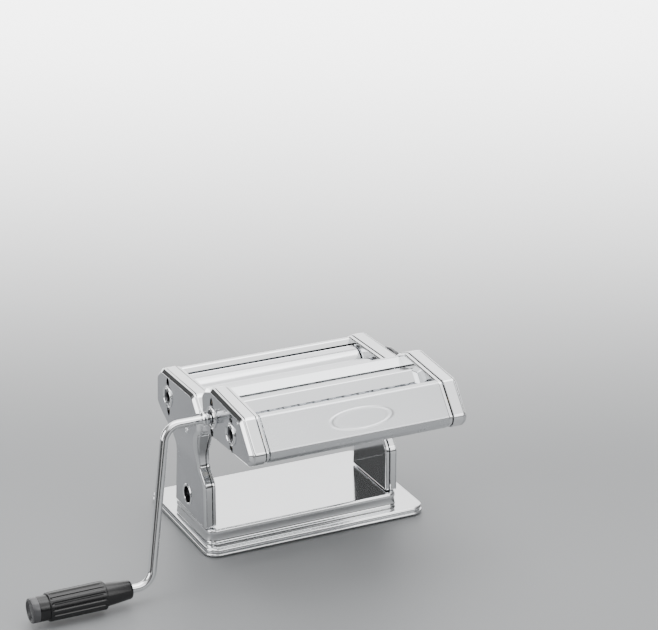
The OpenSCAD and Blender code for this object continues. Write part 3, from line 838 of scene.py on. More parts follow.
class Palette:
    """Every finish of the machine, by the record's material slot."""

    def __init__(self) -> None:
        """Builds the materials once."""
        finishes = {
            "polished_steel": Metal("polished_sheet", (0.84, 0.85, 0.86), 0.09, Grain.EVEN, 0.02, 0.03),
            "plate_steel": Metal("cover_sheet", (0.60, 0.61, 0.63), 0.25, Grain.LENGTHWAYS, 0.05, 0.05),
            "satin_steel": Metal("brushed_sheet", (0.73, 0.745, 0.76), 0.26, Grain.ALONG, 0.05, 0.04),
            "chrome_bar": Metal("chrome_plate", (0.88, 0.89, 0.90), 0.07, Grain.EVEN, 0.02, 0.03),
            "roller_steel": Metal("turned_steel", (0.76, 0.77, 0.79), 0.17, Grain.ROUND, 0.12, 0.05),
            "gear_steel": Metal("machined_steel", (0.42, 0.43, 0.45), 0.36, Grain.ROUND, 0.3, 0.1),
            "bronze": Metal("sintered_bronze", (0.62, 0.42, 0.20), 0.42, Grain.EVEN, 0.35, 0.1),
            # A near-black finish that paints the shade inside bores and sockets.
            "oiled_bore": Metal("oiled_bore", (0.07, 0.07, 0.075), 0.5, Grain.EVEN, 0.2, 0.1),
            "zinc_steel": Metal("zinc_plate", (0.60, 0.62, 0.64), 0.33, Grain.EVEN, 0.2, 0.1),
            "black_plastic": Moulded("black_moulding", (0.004, 0.004, 0.0045),
                                     (0.014, 0.014, 0.015), 0.24),
            "grey_plastic": Moulded("grey_moulding", (0.03, 0.03, 0.032), (0.09, 0.09, 0.095), 0.32),
            "white_plastic": Moulded("ivory_moulding", (0.74, 0.72, 0.65), (0.85, 0.84, 0.8), 0.42),
            "rubber": Moulded("foot_rubber", (0.02, 0.02, 0.02), (0.07, 0.07, 0.07), 0.72, 1200.0, 0.4),
        }
        self.materials = {slot: finish.material() for slot, finish in finishes.items()}

    def __getitem__(self, slot: str) -> bpy.types.Material:
        """The material of a slot."""
        return self.materials[slot]


def dress_cad_nodes(palette: Palette) -> None:
    """Gives every CAD node the finish of its slot, so that those that stay shown are dressed.

    Args:
        palette: the finishes.
    """
    slots = {row["node"]: row["material_slot"] for row in frame["record"]["subparts"]}
    for name, obj in frame["nodes"].items():
        for holder in obj.material_slots:
            holder.material = palette[slots[name]]
        log.info("dressed CAD node %s as %s", name, slots[name])


# ------------------------------------------------------------------ parts of the machine


@dataclass
class Base:
    """The pressed base plate with its beaded rim, its feet, and the pedestal on it."""

    shop: Workshop
    corner: float = 12.0
    pedestal_corner: float = 9.0
    wall: float = 1.2
    bead: float = 1.5
    foot_r: float = 7.0

    @staticmethod
    def rectangle(box: Box, radius: float) -> Outline:
        """A rounded rectangle round a box, seen from above."""
        (x0, y0), (x1, y1) = box.lo[:2].tolist(), box.hi[:2].tolist()
        return Outline(((x0, y0), (x1, y0), (x1, y1), (x0, y1)), (radius,) * 4, 10)

    @staticmethod
    def rings(outline: Outline, profile: Sequence[Point]) -> Array:
        """The outline, inset by d at height z for each (d, z) of the profile."""
        made = [(outline.points(d), z) for d, z in profile]
        return np.stack([np.concatenate([p, np.full((len(p), 1), z)], 1) for p, z in made])

    def plate(self) -> None:
        """The base plate: two round beads with a groove between, a soft shoulder and the deck."""
        box = box_of("base_plate")
        low, deck = box.lo[2], box.hi[2]
        r = self.bead
        t = np.linspace(-0.5 * np.pi, 0.42 * np.pi, 9)
        lower = [(r * (1 - math.cos(a)) * 0.9, low + 1.2 + 1.2 * math.sin(a)) for a in t]
        groove = [(1.9, low + 2.6), (1.95, low + 3.1)]
        t = np.linspace(-0.35 * np.pi, 0.5 * np.pi, 11)
        upper = [(0.5 + 2.4 * (1 - math.cos(a)), deck - 1.9 + 1.9 * math.sin(a)) for a in t]
        edge = [(3.3, deck), (4.4, deck - 0.25), (5.6, deck - 0.3), (7.0, deck - 0.1), (8.2, deck),
                (9.0, deck)]
        inner = [(9.0, deck - self.wall), (4.0, deck - self.wall), (3.4, low + 1.4), (3.0, low)]
        profile = [(1.6, low)] + lower + groove + upper + edge + inner
        made = self.open_pan(self.rectangle(box, self.corner), profile, len(inner))
        self.shop.piece("base_plate", "pressed", made, "stand", "polished_steel")

    def open_pan(self, outline: Outline, profile: Sequence[Point], under: int) -> Surface:
        """The plate's skin: the rim up to the deck, the deck, its underside and the rim inside.

        Args:
            outline: the plate's outline.
            profile: (inset, height) from the foot of the rim, over the deck and back down.
            under: how many points of the profile belong to the underside.

        Returns:
            A closed surface.
        """
        loops = self.rings(outline, profile)
        rows, n = loops.shape[:2]
        top = rows - under - 1
        faces: List[Sequence[int]] = grid_faces(top + 1, n, wrap=True).tolist()
        faces.append(list(range(top * n, (top + 1) * n)))
        faces += (grid_faces(under, n, wrap=True) + (top + 1) * n).tolist()
        faces.append(list(range((top + 1) * n, (top + 2) * n))[::-1])
        last = (rows - 1) * n
        j = np.arange(n)
        faces += np.stack([last + j, last + (j + 1) % n, (j + 1) % n, j], 1).tolist()
        return Surface(loops.reshape(-1, 3), faces)

    def pedestal(self) -> None:
        """The raised platform: a foot fillet, upright walls with two soft ridges, a rounded shoulder."""
        box = box_of("pedestal")
        z0, z1 = box.lo[2], box.hi[2]
        profile = [(0.0, z0 - 0.6), (0.0, z0 + 0.2), (0.35, z0 + 0.8), (0.5, z0 + 2.4), (0.2, z0 + 3.0),
                   (0.2, z0 + 3.6), (0.6, z0 + 4.2), (0.8, z1 - 4.2), (0.5, z1 - 3.6), (0.5, z1 - 3.0)]
        profile += arc(0.7, z1 - 2.0, 2.0, 0, 90, 6) + [(3.4, z1)]
        made = stacked(self.rings(self.rectangle(box, self.pedestal_corner), profile))
        self.shop.piece("pedestal", "pressed", made, "stand", "polished_steel")

    def feet(self) -> None:
        """Four rubber pads with a rounded tread edge and a shallow suction hollow."""
        box = box_of("rubber_feet")
        r = self.foot_r
        pads = []
        pad = [(0.5, 0.01), (0.5, r - 3.2), (0.0, r - 2.6), (0.0, r - 0.7), (0.25, r - 0.25), (0.7, r),
               (box.size[2], r), (box.size[2], 0.01)]
        made = revolved(pad, 40)
        turned = made.verts
        for x in (box.lo[0] + r, box.hi[0] - r):
            for y in (box.lo[1] + r, box.hi[1] - r):
                verts = np.stack([turned[:, 1] + x, turned[:, 2] + y, turned[:, 0]], 1)
                pads.append(Surface(verts, made.faces))
        self.shop.piece("rubber_feet", "moulded", join_all(pads), "stand", "rubber")

    def build(self) -> None:
        """Builds the base."""
        self.plate()
        self.pedestal()
        self.feet()


@dataclass
class Panels:
    """The pressed covers and flanged frames at both ends of the head and of the cutters."""

    shop: Workshop
    wall: float = 1.2
    bevel_angle: float = 52.0
    head_depth: float = 43.0
    flare_height: float = 22.0
    flare_in: float = 6.0
    clamp_bore: float = 7.0
    shaft_hole: float = 8.0
    small_hole: float = 6.0

    def __post_init__(self) -> None:
        """Reads the places that the outlines hang on from the frame."""
        left, right = box_of("side_cover_left"), box_of("side_cover_right")
        self.middle = (left.lo[0] + right.hi[0]) / 2
        self.reach = right.hi[0] - self.middle
        self.seam = right.lo[0] - self.middle
        self.head = right
        self.foot = box_of("pedestal")
        self.cutter = box_of("cutter_cover_right")
        self.frame_in = box_of("side_frame_right").lo[0] - self.middle
        self.head_low = self.head.hi[2] - self.head_depth
        self.crease = self.head_low - self.flare_height
        socket = box_of("head_socket_ring").middle
        wide, narrow = box_of("wide_cutter_rear").middle, box_of("narrow_cutter_rear").middle
        self.cutter_sockets = [(wide[1], wide[2]), (narrow[1], narrow[2])]
        self.head_socket = (socket[1], socket[2])

    def side_outline(self) -> Outline:
        """The leg and head in one outline, waisted between them.

        Returns:
            The outline, seen along X.
        """
        front, rear = self.head.lo[1] - 1.0, self.head.hi[1]
        low, top, crease = self.head_low, self.head.hi[2], self.crease
        foot_front, foot_rear = self.foot.lo[1] + 5.0, self.foot.hi[1] - 7.0
        seam = self.head.lo[2]
        corners = [
            (foot_front, seam), (foot_rear, seam),
            (foot_rear - 4.5, crease - 6), (foot_rear - 3, crease + 9),
            (rear - 8.5, low + 1.5), (rear, low + 9), (rear - 1.5, top - 10), (rear - 12, top - 1.5),
            (front + 13, top), (front + 1, top - 13), (front + 1, low + 13), (front + 7.5, low + 8.5),
            (foot_front + 12, crease + 9), (foot_front + 12, crease - 2), (foot_front, crease - 14),
        ]
        radii = (2.5, 2.5, 20, 24, 8, 7, 6, 8, 8, 8, 5, 6, 16, 10, 12)
        return Outline(tuple(corners), radii)

    def cutter_outline(self) -> Outline:
        """The cutter end cover's outline.

        Returns:
            The outline, seen along X.
        """
        front, rear = self.cutter.lo[1], self.cutter.hi[1]
        low, top = self.cutter.lo[2], self.cutter.hi[2]
        corners = [
            (front + 0.4, low + 10), (front + 7, low + 4), (rear - 15, low), (rear - 3.5, low + 5.5),
            (rear, top - 12), (rear - 7, top - 5), (rear - 20, top),
            (front + 20, top - 3.5), (front, low + 16),
        ]
        return Outline(tuple(corners), (6, 6, 9, 6, 7, 7, 9, 6, 6))

    def rim_profile(self, depth: float) -> List[Point]:
        """The covers' profile: band, fine crease, rounded rim, bevel and soft corner.

        Args:
            depth: from the open edge to the face.

        Returns:
            (inset, depth) pairs from the open edge.
        """
        tilt, first, last, flat = self.bevel_angle, 1.5, 1.4, 2.1
        run = math.radians(tilt)
        rise = first * math.sin(run) + flat / math.tan(run) + last * (1 - math.sin(run))
        start = depth - rise
        rim = arc(0.0, start, first, 0, tilt, 6)
        d, x = rim[-1][0] + flat, rim[-1][1] + flat / math.tan(run)
        return [(0.35, 0.0), (0.0, 0.5), (0.0, start - 1.5), (0.3, start - 1.2), (0.55, start - 0.8),
                (0.3, start - 0.3)] + rim + arc(d, x, last, tilt, 90, 5)

    def place(self, surface: Surface, side: int, offset: float) -> Surface:
        """Puts a surface drawn with X as depth on one side of the middle plane.

        Args:
            surface: the surface.
            side: -1 for the crank side, 1 for the knob side.
            offset: how far from the middle plane its own X of 0 goes.

        Returns:
            The surface in place, mirrored on the crank side.
        """
        v = surface.verts.copy()
        v[:, 0] = self.middle + side * (v[:, 0] + offset)
        faces = surface.faces if side > 0 else [list(f)[::-1] for f in surface.faces]
        return Surface(v, faces)

    def slot_bits(self, side: int, y: float, z: float) -> List[Surface]:
        """Bits for a crank socket: a round hole and an upright slot above and below it.

        Args:
            side: -1 for the crank side, 1 for the knob side.
            y: the socket's place along Y.
            z: the socket's place along Z.

        Returns:
            Three closed surfaces.
        """
        hole = revolved([(-4.0, 6.6), (4.0, 6.6)], 48).moved((self.reach, y, z))
        bits = [self.place(hole, side, 0.0)]
        for up in (-1, 1):
            tip, foot = z + up * 17.4, z + up * 10.0
            drop = [(y - 3.2, foot), (y + 3.2, foot), (y + 2.5, foot + up * 4.2), (y, tip),
                    (y - 2.5, foot + up * 4.2)][::up]
            s = Outline(tuple(drop), (0.8, 0.8, 1.4, 0.8, 1.4), 4).points()
            loops = np.stack([np.concatenate([np.full((len(s), 1), x), s], 1)
                              for x in (self.reach - 4, self.reach + 4)])
            bits.append(self.place(stacked(loops), side, 0.0))
        return bits

    def flare(self, points: Array) -> Array:
        """Brings the cover in below the head.

        The face's distance from the middle plane runs from the leg's to the head's between
        the crease and the head along a smooth step that starts with a slight corner, and
        every point keeps its share of the depth.

        Args:
            points: a cover's points.

        Returns:
            The moved points.
        """
        z = points[:, 2]
        t = np.clip((z - self.crease) / (self.head_low + 6.0 - self.crease), 0, 1)
        ease = 0.55 * t + 0.45 * t * t * (3 - 2 * t)
        face = self.reach - self.flare_in * (1 - ease)
        offset = np.abs(points[:, 0] - self.middle)
        share = (offset - self.seam) / (self.reach - self.seam)
        out = points.copy()
        side = np.sign(points[:, 0] - self.middle)
        out[:, 0] = self.middle + side * (self.seam + share * (face - self.seam))
        return out

    def side_covers(self) -> None:
        """Both outer covers, with the sockets, the clamp hole and the dial's hole cut in them."""
        shell = pressed_shell(self.side_outline(), self.rim_profile(self.reach - self.seam), self.wall)
        clamp = box_of("clamp_socket").middle
        knob = box_of("knob_bearing").middle
        levels = np.linspace(self.crease - 1.0, self.head_low + 6.5, 22)
        for side, name in ((-1, "left"), (1, "right")):
            obj = self.shop.mesh_object(f"side_cover_{name}_pressed", self.place(shell, side, self.seam))
            if side < 0:
                hole = revolved([(-12.0, 8.4), (4.0, 8.4)], 40).moved((self.reach, clamp[1], clamp[2]))
                bits = self.slot_bits(side, *self.head_socket)
                self.shop.drill(obj, bits + [self.place(hole, side, 0.0)])
            else:
                hole = revolved([(-4.0, 7.0), (4.0, 7.0)], 40).moved((self.reach, knob[1], knob[2]))
                self.shop.drill(obj, [self.place(hole, side, 0.0)])
            self.shop.reshape(obj, levels, self.flare)
            self.shop.finish(obj, f"side_cover_{name}", "stand", "polished_steel", "plate_steel", broad)

    def cutter_covers(self) -> None:
        """Both end covers of the cutter attachment."""
        shell = pressed_shell(self.cutter_outline(), self.rim_profile(self.reach - self.seam), self.wall)
        for side, name in ((-1, "left"), (1, "right")):
            placed = self.place(shell, side, self.seam)
            obj = self.shop.mesh_object(f"cutter_cover_{name}_pressed", placed)
            if side < 0:
                bits = [b for y, z in self.cutter_sockets for b in self.slot_bits(side, y, z)]
                self.shop.drill(obj, bits)
            self.shop.finish(obj, f"cutter_cover_{name}", "cutter_head", "polished_steel",
                             "plate_steel", broad)

    def flanged(self, name: str, outline: Outline, side: int, body: str,
                holes: Sequence[Tuple[float, float, float]]) -> None:
        """A flat frame whose edge is turned outwards in a small flange.

        Args:
            name: the CAD node that it replaces.
            outline: its (y, z) outline.
            side: -1 for the crank side, 1 for the knob side.
            body: the body that it rides on.
            holes: (y, z, radius) of each bearing hole.
        """
        profile = [(0.0, 0.0)] + arc(0.0, 1.4, 1.6, 0, 90, 5)
        shell = pressed_shell(outline, profile, self.wall)
        v = shell.verts.copy()
        v[:, 0] = 3.0 - v[:, 0]
        placed = self.place(Surface(v, shell.faces), side, self.frame_in)
        obj = self.shop.mesh_object(name + "_pressed", placed)
        bits = [self.place(revolved([(-3.0, r), (6.0, r)], 40).moved((self.frame_in, y, z)), side, 0.0)
                for y, z, r in holes]
        if bits:
            self.shop.drill(obj, bits)
        self.shop.finish(obj, name, body, "polished_steel")

    def frames(self) -> None:
        """The four flanged frames."""
        fixed = box_of("fixed_roller").middle
        clamp = box_of("clamp_socket").middle
        front = box_of("wide_cutter_front").middle
        last = box_of("narrow_cutter_front").middle
        head = self.side_outline().inset(0.8)
        cut = self.cutter_outline().inset(0.8)
        for side, name in ((-1, "left"), (1, "right")):
            holes = [(fixed[1], fixed[2], self.shaft_hole)]
            holes += [(clamp[1], clamp[2], self.clamp_bore)] if side < 0 else []
            self.flanged(f"side_frame_{name}", head, side, "stand", holes)
            bores = [(y, z, self.shaft_hole) for y, z in self.cutter_sockets]
            bores += [(front[1], front[2], self.small_hole), (last[1], last[2], self.small_hole)]
            self.flanged(f"cutter_frame_{name}", cut, side, "cutter_head", bores)

    def rings(self) -> None:
        """The bright dished rings round the crank sockets and the clamp hole."""
        dish = [(0.0, 6.35), (1.0, 6.35), (1.0, 6.9), (0.55, 7.4), (0.5, 8.0), (0.95, 8.5), (0.9, 8.8),
                (0.45, 9.0), (0.0, 9.0)]
        closed = np.array(dish + dish[:1])
        for name, body, spots in (("head_socket_ring", "stand", [self.head_socket]),
                                  ("cutter_socket_rings", "cutter_head", self.cutter_sockets)):
            made = [self.place(self.ring(closed).moved((0, y, z)), -1, self.reach) for y, z in spots]
            self.shop.piece(name, "dished", join_all(made), body, "chrome_bar")
        box = box_of("clamp_socket")
        depth = box.size[0] - 0.8
        r = self.clamp_bore
        sleeve = [(-depth, r), (0.2, r), (0.55, r + 0.4), (0.8, r + 1.0), (0.7, r + 1.8),
                  (0.25, r + 2.2), (0.0, r + 2.2), (0.0, r + 1.4), (-depth, r + 1.4), (-depth, r)]
        made = self.ring(np.array(sleeve)).moved((box.hi[0] - self.middle - depth, *box.middle[1:]))
        offset = -(box.hi[0] - self.middle - depth) - (box.lo[0] - self.middle) - 0.8
        obj = self.shop.mesh_object("clamp_socket_dished", self.place(made, -1, offset))
        # The clamp sleeve's bore gets the near-black finish: painted shade in the hole.
        bore = inside(*box.middle[1:], self.clamp_bore + 0.05, box.hi[0] + 3.0)
        self.shop.finish(obj, "clamp_socket", "stand", "chrome_bar", "oiled_bore", bore)

    @staticmethod
    def ring(section: Array, segments: int = 56) -> Surface:
        """A closed section turned round the X axis.

        Args:
            section: (x, radius) points, the last the same as the first.
            segments: sections round the axis.

        Returns:
            A closed surface.
        """
        a = np.linspace(0, 2 * np.pi, segments, endpoint=False)[:, None]
        p = section[None, :-1]
        loops = np.stack([np.broadcast_to(p[..., 0], (segments, p.shape[1])),
                          p[..., 1] * np.cos(a), p[..., 1] * np.sin(a)], -1)
        faces = grid_faces(segments, p.shape[1], wrap=True)
        n, m = segments, p.shape[1]
        j = np.arange(m)
        close = np.stack([(n - 1) * m + j, (n - 1) * m + (j + 1) % m, (j + 1) % m, j], 1)
        return Surface(loops.reshape(-1, 3), np.concatenate([faces, close]).tolist())

    def fasteners(self) -> None:
        """Domed screws on the covers and the small rivets of the cutter covers."""
        def dome(r: float, h: float) -> Surface:
            """A low dome of radius r and height h with a driver's recess.

            Args:
                r: the radius.
                h: the height.

            Returns:
                A closed surface on the face at X = 0.
            """
            t = np.linspace(0.0, 0.5 * np.pi, 7)
            shape = [(-0.3, r)] + [(h * math.sin(a), r * (0.45 + 0.55 * math.cos(a))) for a in t]
            return revolved(shape + [(h, r * 0.42), (h * 0.25, r * 0.36), (h * 0.25, 0.01)], 32)
        for node, r, h, body in (("cover_screws", 2.5, 0.8, "stand"),
                                 ("cutter_rivets", 1.4, 0.6, "cutter_head")):
            made = [self.place(dome(r, h).moved((0, y, z)), side, self.reach)
                    for side, y, z in self.spots(node)]
            self.shop.piece(node, "domed", join_all(made), body, "chrome_bar")

    def spots(self, node: str) -> List[Tuple[int, float, float]]:
        """Finds a node's two solids, one on each side.

        Args:
            node: the CAD node.

        Returns:
            The side, y and z of each.
        """
        co = read(frame["nodes"][node].data.vertices, "co") / MM
        found = []
        for side in (-1, 1):
            mine = co[(co[:, 0] - self.middle) * side > 0]
            found.append((side, *((mine.min(0) + mine.max(0)) / 2)[1:]))
        return found

    def build(self) -> None:
        """Builds covers, frames, rings and fasteners."""
        self.side_covers()
        self.cutter_covers()
        self.frames()
        self.rings()
        self.fasteners()


@dataclass
class Sheets:
    """The folded sheets between the end frames."""

    shop: Workshop
    wall: float = 1.2
    gap: float = 0.05
    head_depth: float = 43.0
    roller_r: float = 15.0
    cutter_r: float = 9.5
    emblem_size: Point = (26.0, 8.2)

    def __post_init__(self) -> None:
        """Reads the ends and the places of the sheets from the frame."""
        self.x0 = box_of("cutter_front_plate").lo[0]
        self.x1 = box_of("cutter_front_plate").hi[0]
        self.cut = box_of("cutter_cover_right")
        self.head = box_of("side_cover_right")
        self.fixed = box_of("fixed_roller").middle
        self.moving = box_of("moving_roller").middle
        self.wide = box_of("wide_cutter_rear").middle

    def sheet(self, name: str, corners: Sequence[Point], body: str, slot: str,
              radius: float = 2.2, columns: int = 2,
              relief: Relief | None = None) -> bpy.types.Object:
        """Makes one folded sheet in the place of its CAD node.

        Args:
            name: the CAD node.
            corners: the fold line.
            body: the body that it rides on.
            slot: its finish.
            radius: the bend radius.
            columns: points along X.
            relief: optional height over the sheet.

        Returns:
            The piece.
        """
        path = fold_path(corners, radius, 8)
        made = folded_sheet(path, self.wall, self.x0 + self.gap, self.x1 - self.gap, columns, relief)
        return self.shop.piece(name, "folded", made, body, slot)

    def emblem(self, x: Array, s: Array) -> Array:
        """A blank oval boss: a raised ring round a low crown, on the middle of the front face.

        With e the elliptical distance from the centre, the ring is a bell round e = 1 and
        the crown is a soft step inside it.

        Args:
            x: places along X.
            s: lengths along the folded path.

        Returns:
            The height there.
        """
        centre_x, centre_s = (self.x0 + self.x1) / 2 + 4.0, 21.0
        half_x, half_s = self.emblem_size
        e = np.sqrt(((x - centre_x) / half_x) ** 2 + ((s - centre_s) / half_s) ** 2)
        ring = 0.26 * np.exp(-((e - 1.0) / 0.06) ** 2)
        crown = 0.10 / (1 + np.exp((e - 0.84) / 0.03))
        return ring + crown

    def front_plate(self) -> None:
        """The inclined front, with a rounded lip above and a turned-in edge below."""
        front, low, top = self.cut.lo[1], self.cut.lo[2], self.cut.hi[2]
        corners = [(front + 25, top - 4.8), (front + 20.2, top - 4.4), (front + 1.1, low + 16),
                   (front + 1.8, low + 10.5), (front + 7.4, low + 5.2), (front + 13, low + 4.6)]
        path = fold_path(corners, 2.6, 8)
        k = 9  # the last point of the upper fold, where the flat face starts
        flat = path[k] + (path[k + 1] - path[k]) * np.linspace(0, 1, 72)[1:-1, None]
        dense = np.concatenate([path[:k + 1], flat, path[k + 1:]])
        made = folded_sheet(dense, self.wall, self.x0 + self.gap, self.x1 - self.gap, 220, self.emblem)
        self.shop.piece("cutter_front_plate", "folded", made, "cutter_head", "satin_steel")

    def divider(self) -> None:
        """The ridge between the slots, cut back at its knob-side end, with a turned-down tab."""
        box = box_of("cutter_divider")
        ridge, top = box.lo[1] + 6.9, self.cut.hi[2]
        corners = [(ridge + 11, top - 8.5), (ridge, top - 6), (ridge - 6.5, top - 14)]
        path = fold_path(corners, 1.6, 8)
        made = folded_sheet(path, self.wall, self.x0 + self.gap, self.x1 - 5.0)
        tab = folded_sheet(path + np.array([0, -0.4]), self.wall, self.x1 - 5.4, self.x1 - self.gap)
        tip = np.where(tab.verts[:, :1] > self.x1 - 3, 1, 0)
        tab = Surface(tab.verts + tip * np.array([[0, 0, -3.0]]), tab.faces)
        self.shop.piece("cutter_divider", "folded", made.joined(tab), "cutter_head", "satin_steel")

    def build(self) -> None:
        """Builds every sheet."""
        self.front_plate()
        self.divider()
        rear, low, top = self.cut.hi[1], self.cut.lo[2], self.cut.hi[2]
        cutter_r, r = self.cutter_r, self.roller_r
        self.sheet("cutter_rear_guide", [
            (rear - 2, low + 22), (rear - 2.4, top - 12.5), (rear - 8.4, top - 7),
            (self.wide[1] + 4, self.wide[2] + cutter_r + 2.4)], "cutter_head", "satin_steel", 3.0)
        rear, top, low = self.head.hi[1], self.head.hi[2], self.head.hi[2] - self.head_depth
        front = self.head.lo[1] - 1.0
        self.sheet("rear_hopper_plate", [
            (rear - 9, low + 4), (rear - 2.5, low + 11), (rear - 4, top - 11), (rear - 13, top - 3),
            (self.fixed[1] + r * 0.7, self.fixed[2] + r * 0.72 + 2.4)], "stand", "polished_steel", 4.0)
        self.sheet("front_guide_plate", [
            (front + 3.5, low + 20), (front + 3.5, top - 14), (front + 13, top - 2.5),
            (self.moving[1] - 2.4 - r * 0.72, self.moving[2] + r * 0.72 + 3.2)],
            "stand", "polished_steel", 4.0)


@dataclass
class Rollers:
    """The smooth rollers and the two cutter pairs, turned from bar."""

    shop: Workshop
    chamfer: float = 0.6
    roller_r: float = 15.0
    disc_r: float = 9.5
    core_r: float = 7.8
    bore_r: float = 3.55
    bore_depth: float = 24.0
    driven_shaft_r: float = 6.0
    plain_shaft_r: float = 4.0
    wide_strip: float = 6.5
    narrow_strip: float = 2.0

    def shaft_r(self, socket: bool) -> float:
        """The stub shafts' radius; one with a socket is thicker."""
        return self.driven_shaft_r if socket else self.plain_shaft_r

    def turned(self, node: str, body: str, middle: Sequence[Point], segments: int, socket: bool) -> None:
        """Makes a roller between its two shaft ends.

        The bore and the shaft's end are painted near-black, as shade, where the crank goes in.

        Args:
            node: the CAD node.
            body: the body that it rides on.
            middle: (x, radius) points from one shaft to the other.
            segments: points round the axis.
            socket: whether the crank-side stub is bored for the crank.
        """
        box, r = box_of(node), self.shaft_r(socket)
        profile = self.head(box.lo[0], r, socket) + list(middle) + self.tail(box.hi[0], r)
        made = revolved(profile, segments).moved((0, *box.middle[1:]))
        obj = self.shop.mesh_object(node + "_turned", made)
        # Faces in the crank socket get the near-black finish: painted shade.
        painted_shade_faces = inside(*box.middle[1:], r - 0.8 if socket else 0.0, box.lo[0] + self.bore_depth + 2.0)
        self.shop.finish(obj, node, body, "roller_steel", "oiled_bore", painted_shade_faces)

    def smooth(self, node: str, socket: bool) -> None:
        """A smooth roller with chamfered ends, and support points that keep its long face flat.

        Args:
            node: the CAD node, and the body that it rides on.
            socket: whether the crank-side stub is bored for the crank.
        """
        start, end = box_of("side_frame_left").hi[0] + 0.3, box_of("side_frame_right").lo[0] - 0.3
        c, r, shaft_r = self.chamfer, self.roller_r, self.shaft_r(socket)
        x0, x1 = start + 0.5 + c, end - 0.5 - c
        middle = [(start, shaft_r), (start, r - 2.2), (start + 0.5, r - c), (x0, r), (x0 + 0.8, r),
                  (x1 - 0.8, r), (x1, r), (end - 0.5, r - c), (end, r - 2.2), (end, shaft_r)]
        self.turned(node, node, middle, 96, socket)

    def head(self, x: float, r: float, socket: bool) -> List[Point]:
        """The crank-side end of a shaft: a bored socket with a countersink, or a chamfered tip.

        Args:
            x: the end's place.
            r: the shaft's radius.
            socket: whether it is bored.

        Returns:
            (x, radius) points.
        """
        tip = [(x, r - 0.5), (x + 0.5, r)]
        if socket:
            deep = x + self.bore_depth
            return [(deep, 0.01), (deep, self.bore_r), (x + 0.9, self.bore_r), (x, 4.3)] + tip
        return [(x, 0.01)] + tip

    @staticmethod
    def tail(x: float, r: float) -> List[Point]:
        """The knob-side end of a shaft, chamfered."""
        return [(x - 0.5, r), (x, r - 0.5), (x, 0.01)]

    def cutter(self, node: str, body: str, strip: float, first: int, socket: bool) -> None:
        """A cutter roller: sharp discs on every second strip over a grooved core.

        Args:
            node: the CAD node.
            body: the body that it rides on.
            strip: width of one noodle.
            first: 0 or 1, the strip that the first disc stands on.
            socket: whether the crank-side stub is bored for the crank.
        """
        disc_r, core_r, relief, shaft_r = self.disc_r, self.core_r, 0.25, self.shaft_r(socket)
        lo, hi = box_of("cutter_frame_left").hi[0] + 1.0, box_of("cutter_frame_right").lo[0] - 1.0
        count = math.floor((hi - lo + 2.0 - 4.0) / strip)
        starts = (lo + hi) / 2 - count * strip / 2 + strip * np.arange(first, count, 2) + 0.15
        wide = strip - 0.3
        land = np.array([[0.0, core_r], [0.02, disc_r - 0.12], [0.12, disc_r],
                         [0.5 * wide, disc_r - relief * min(1.0, wide / 6)],
                         [wide - 0.12, disc_r], [wide - 0.02, disc_r - 0.12], [wide, core_r]])
        discs = (land[None] + np.stack([starts, np.zeros_like(starts)], 1)[:, None]).reshape(-1, 2)
        middle = [(lo, shaft_r), (lo, core_r)] + list(map(tuple, discs.tolist()))
        self.turned(node, body, middle + [(hi, core_r), (hi, shaft_r)], 64, socket)

    def build(self) -> None:
        """Builds all six rollers."""
        self.smooth("fixed_roller", True)
        self.smooth("moving_roller", False)
        for kind, strip in (("wide", self.wide_strip), ("narrow", self.narrow_strip)):
            self.cutter(f"{kind}_cutter_rear", f"{kind}_rear", strip, 0, True)
            self.cutter(f"{kind}_cutter_front", f"{kind}_front", strip, 1, False)


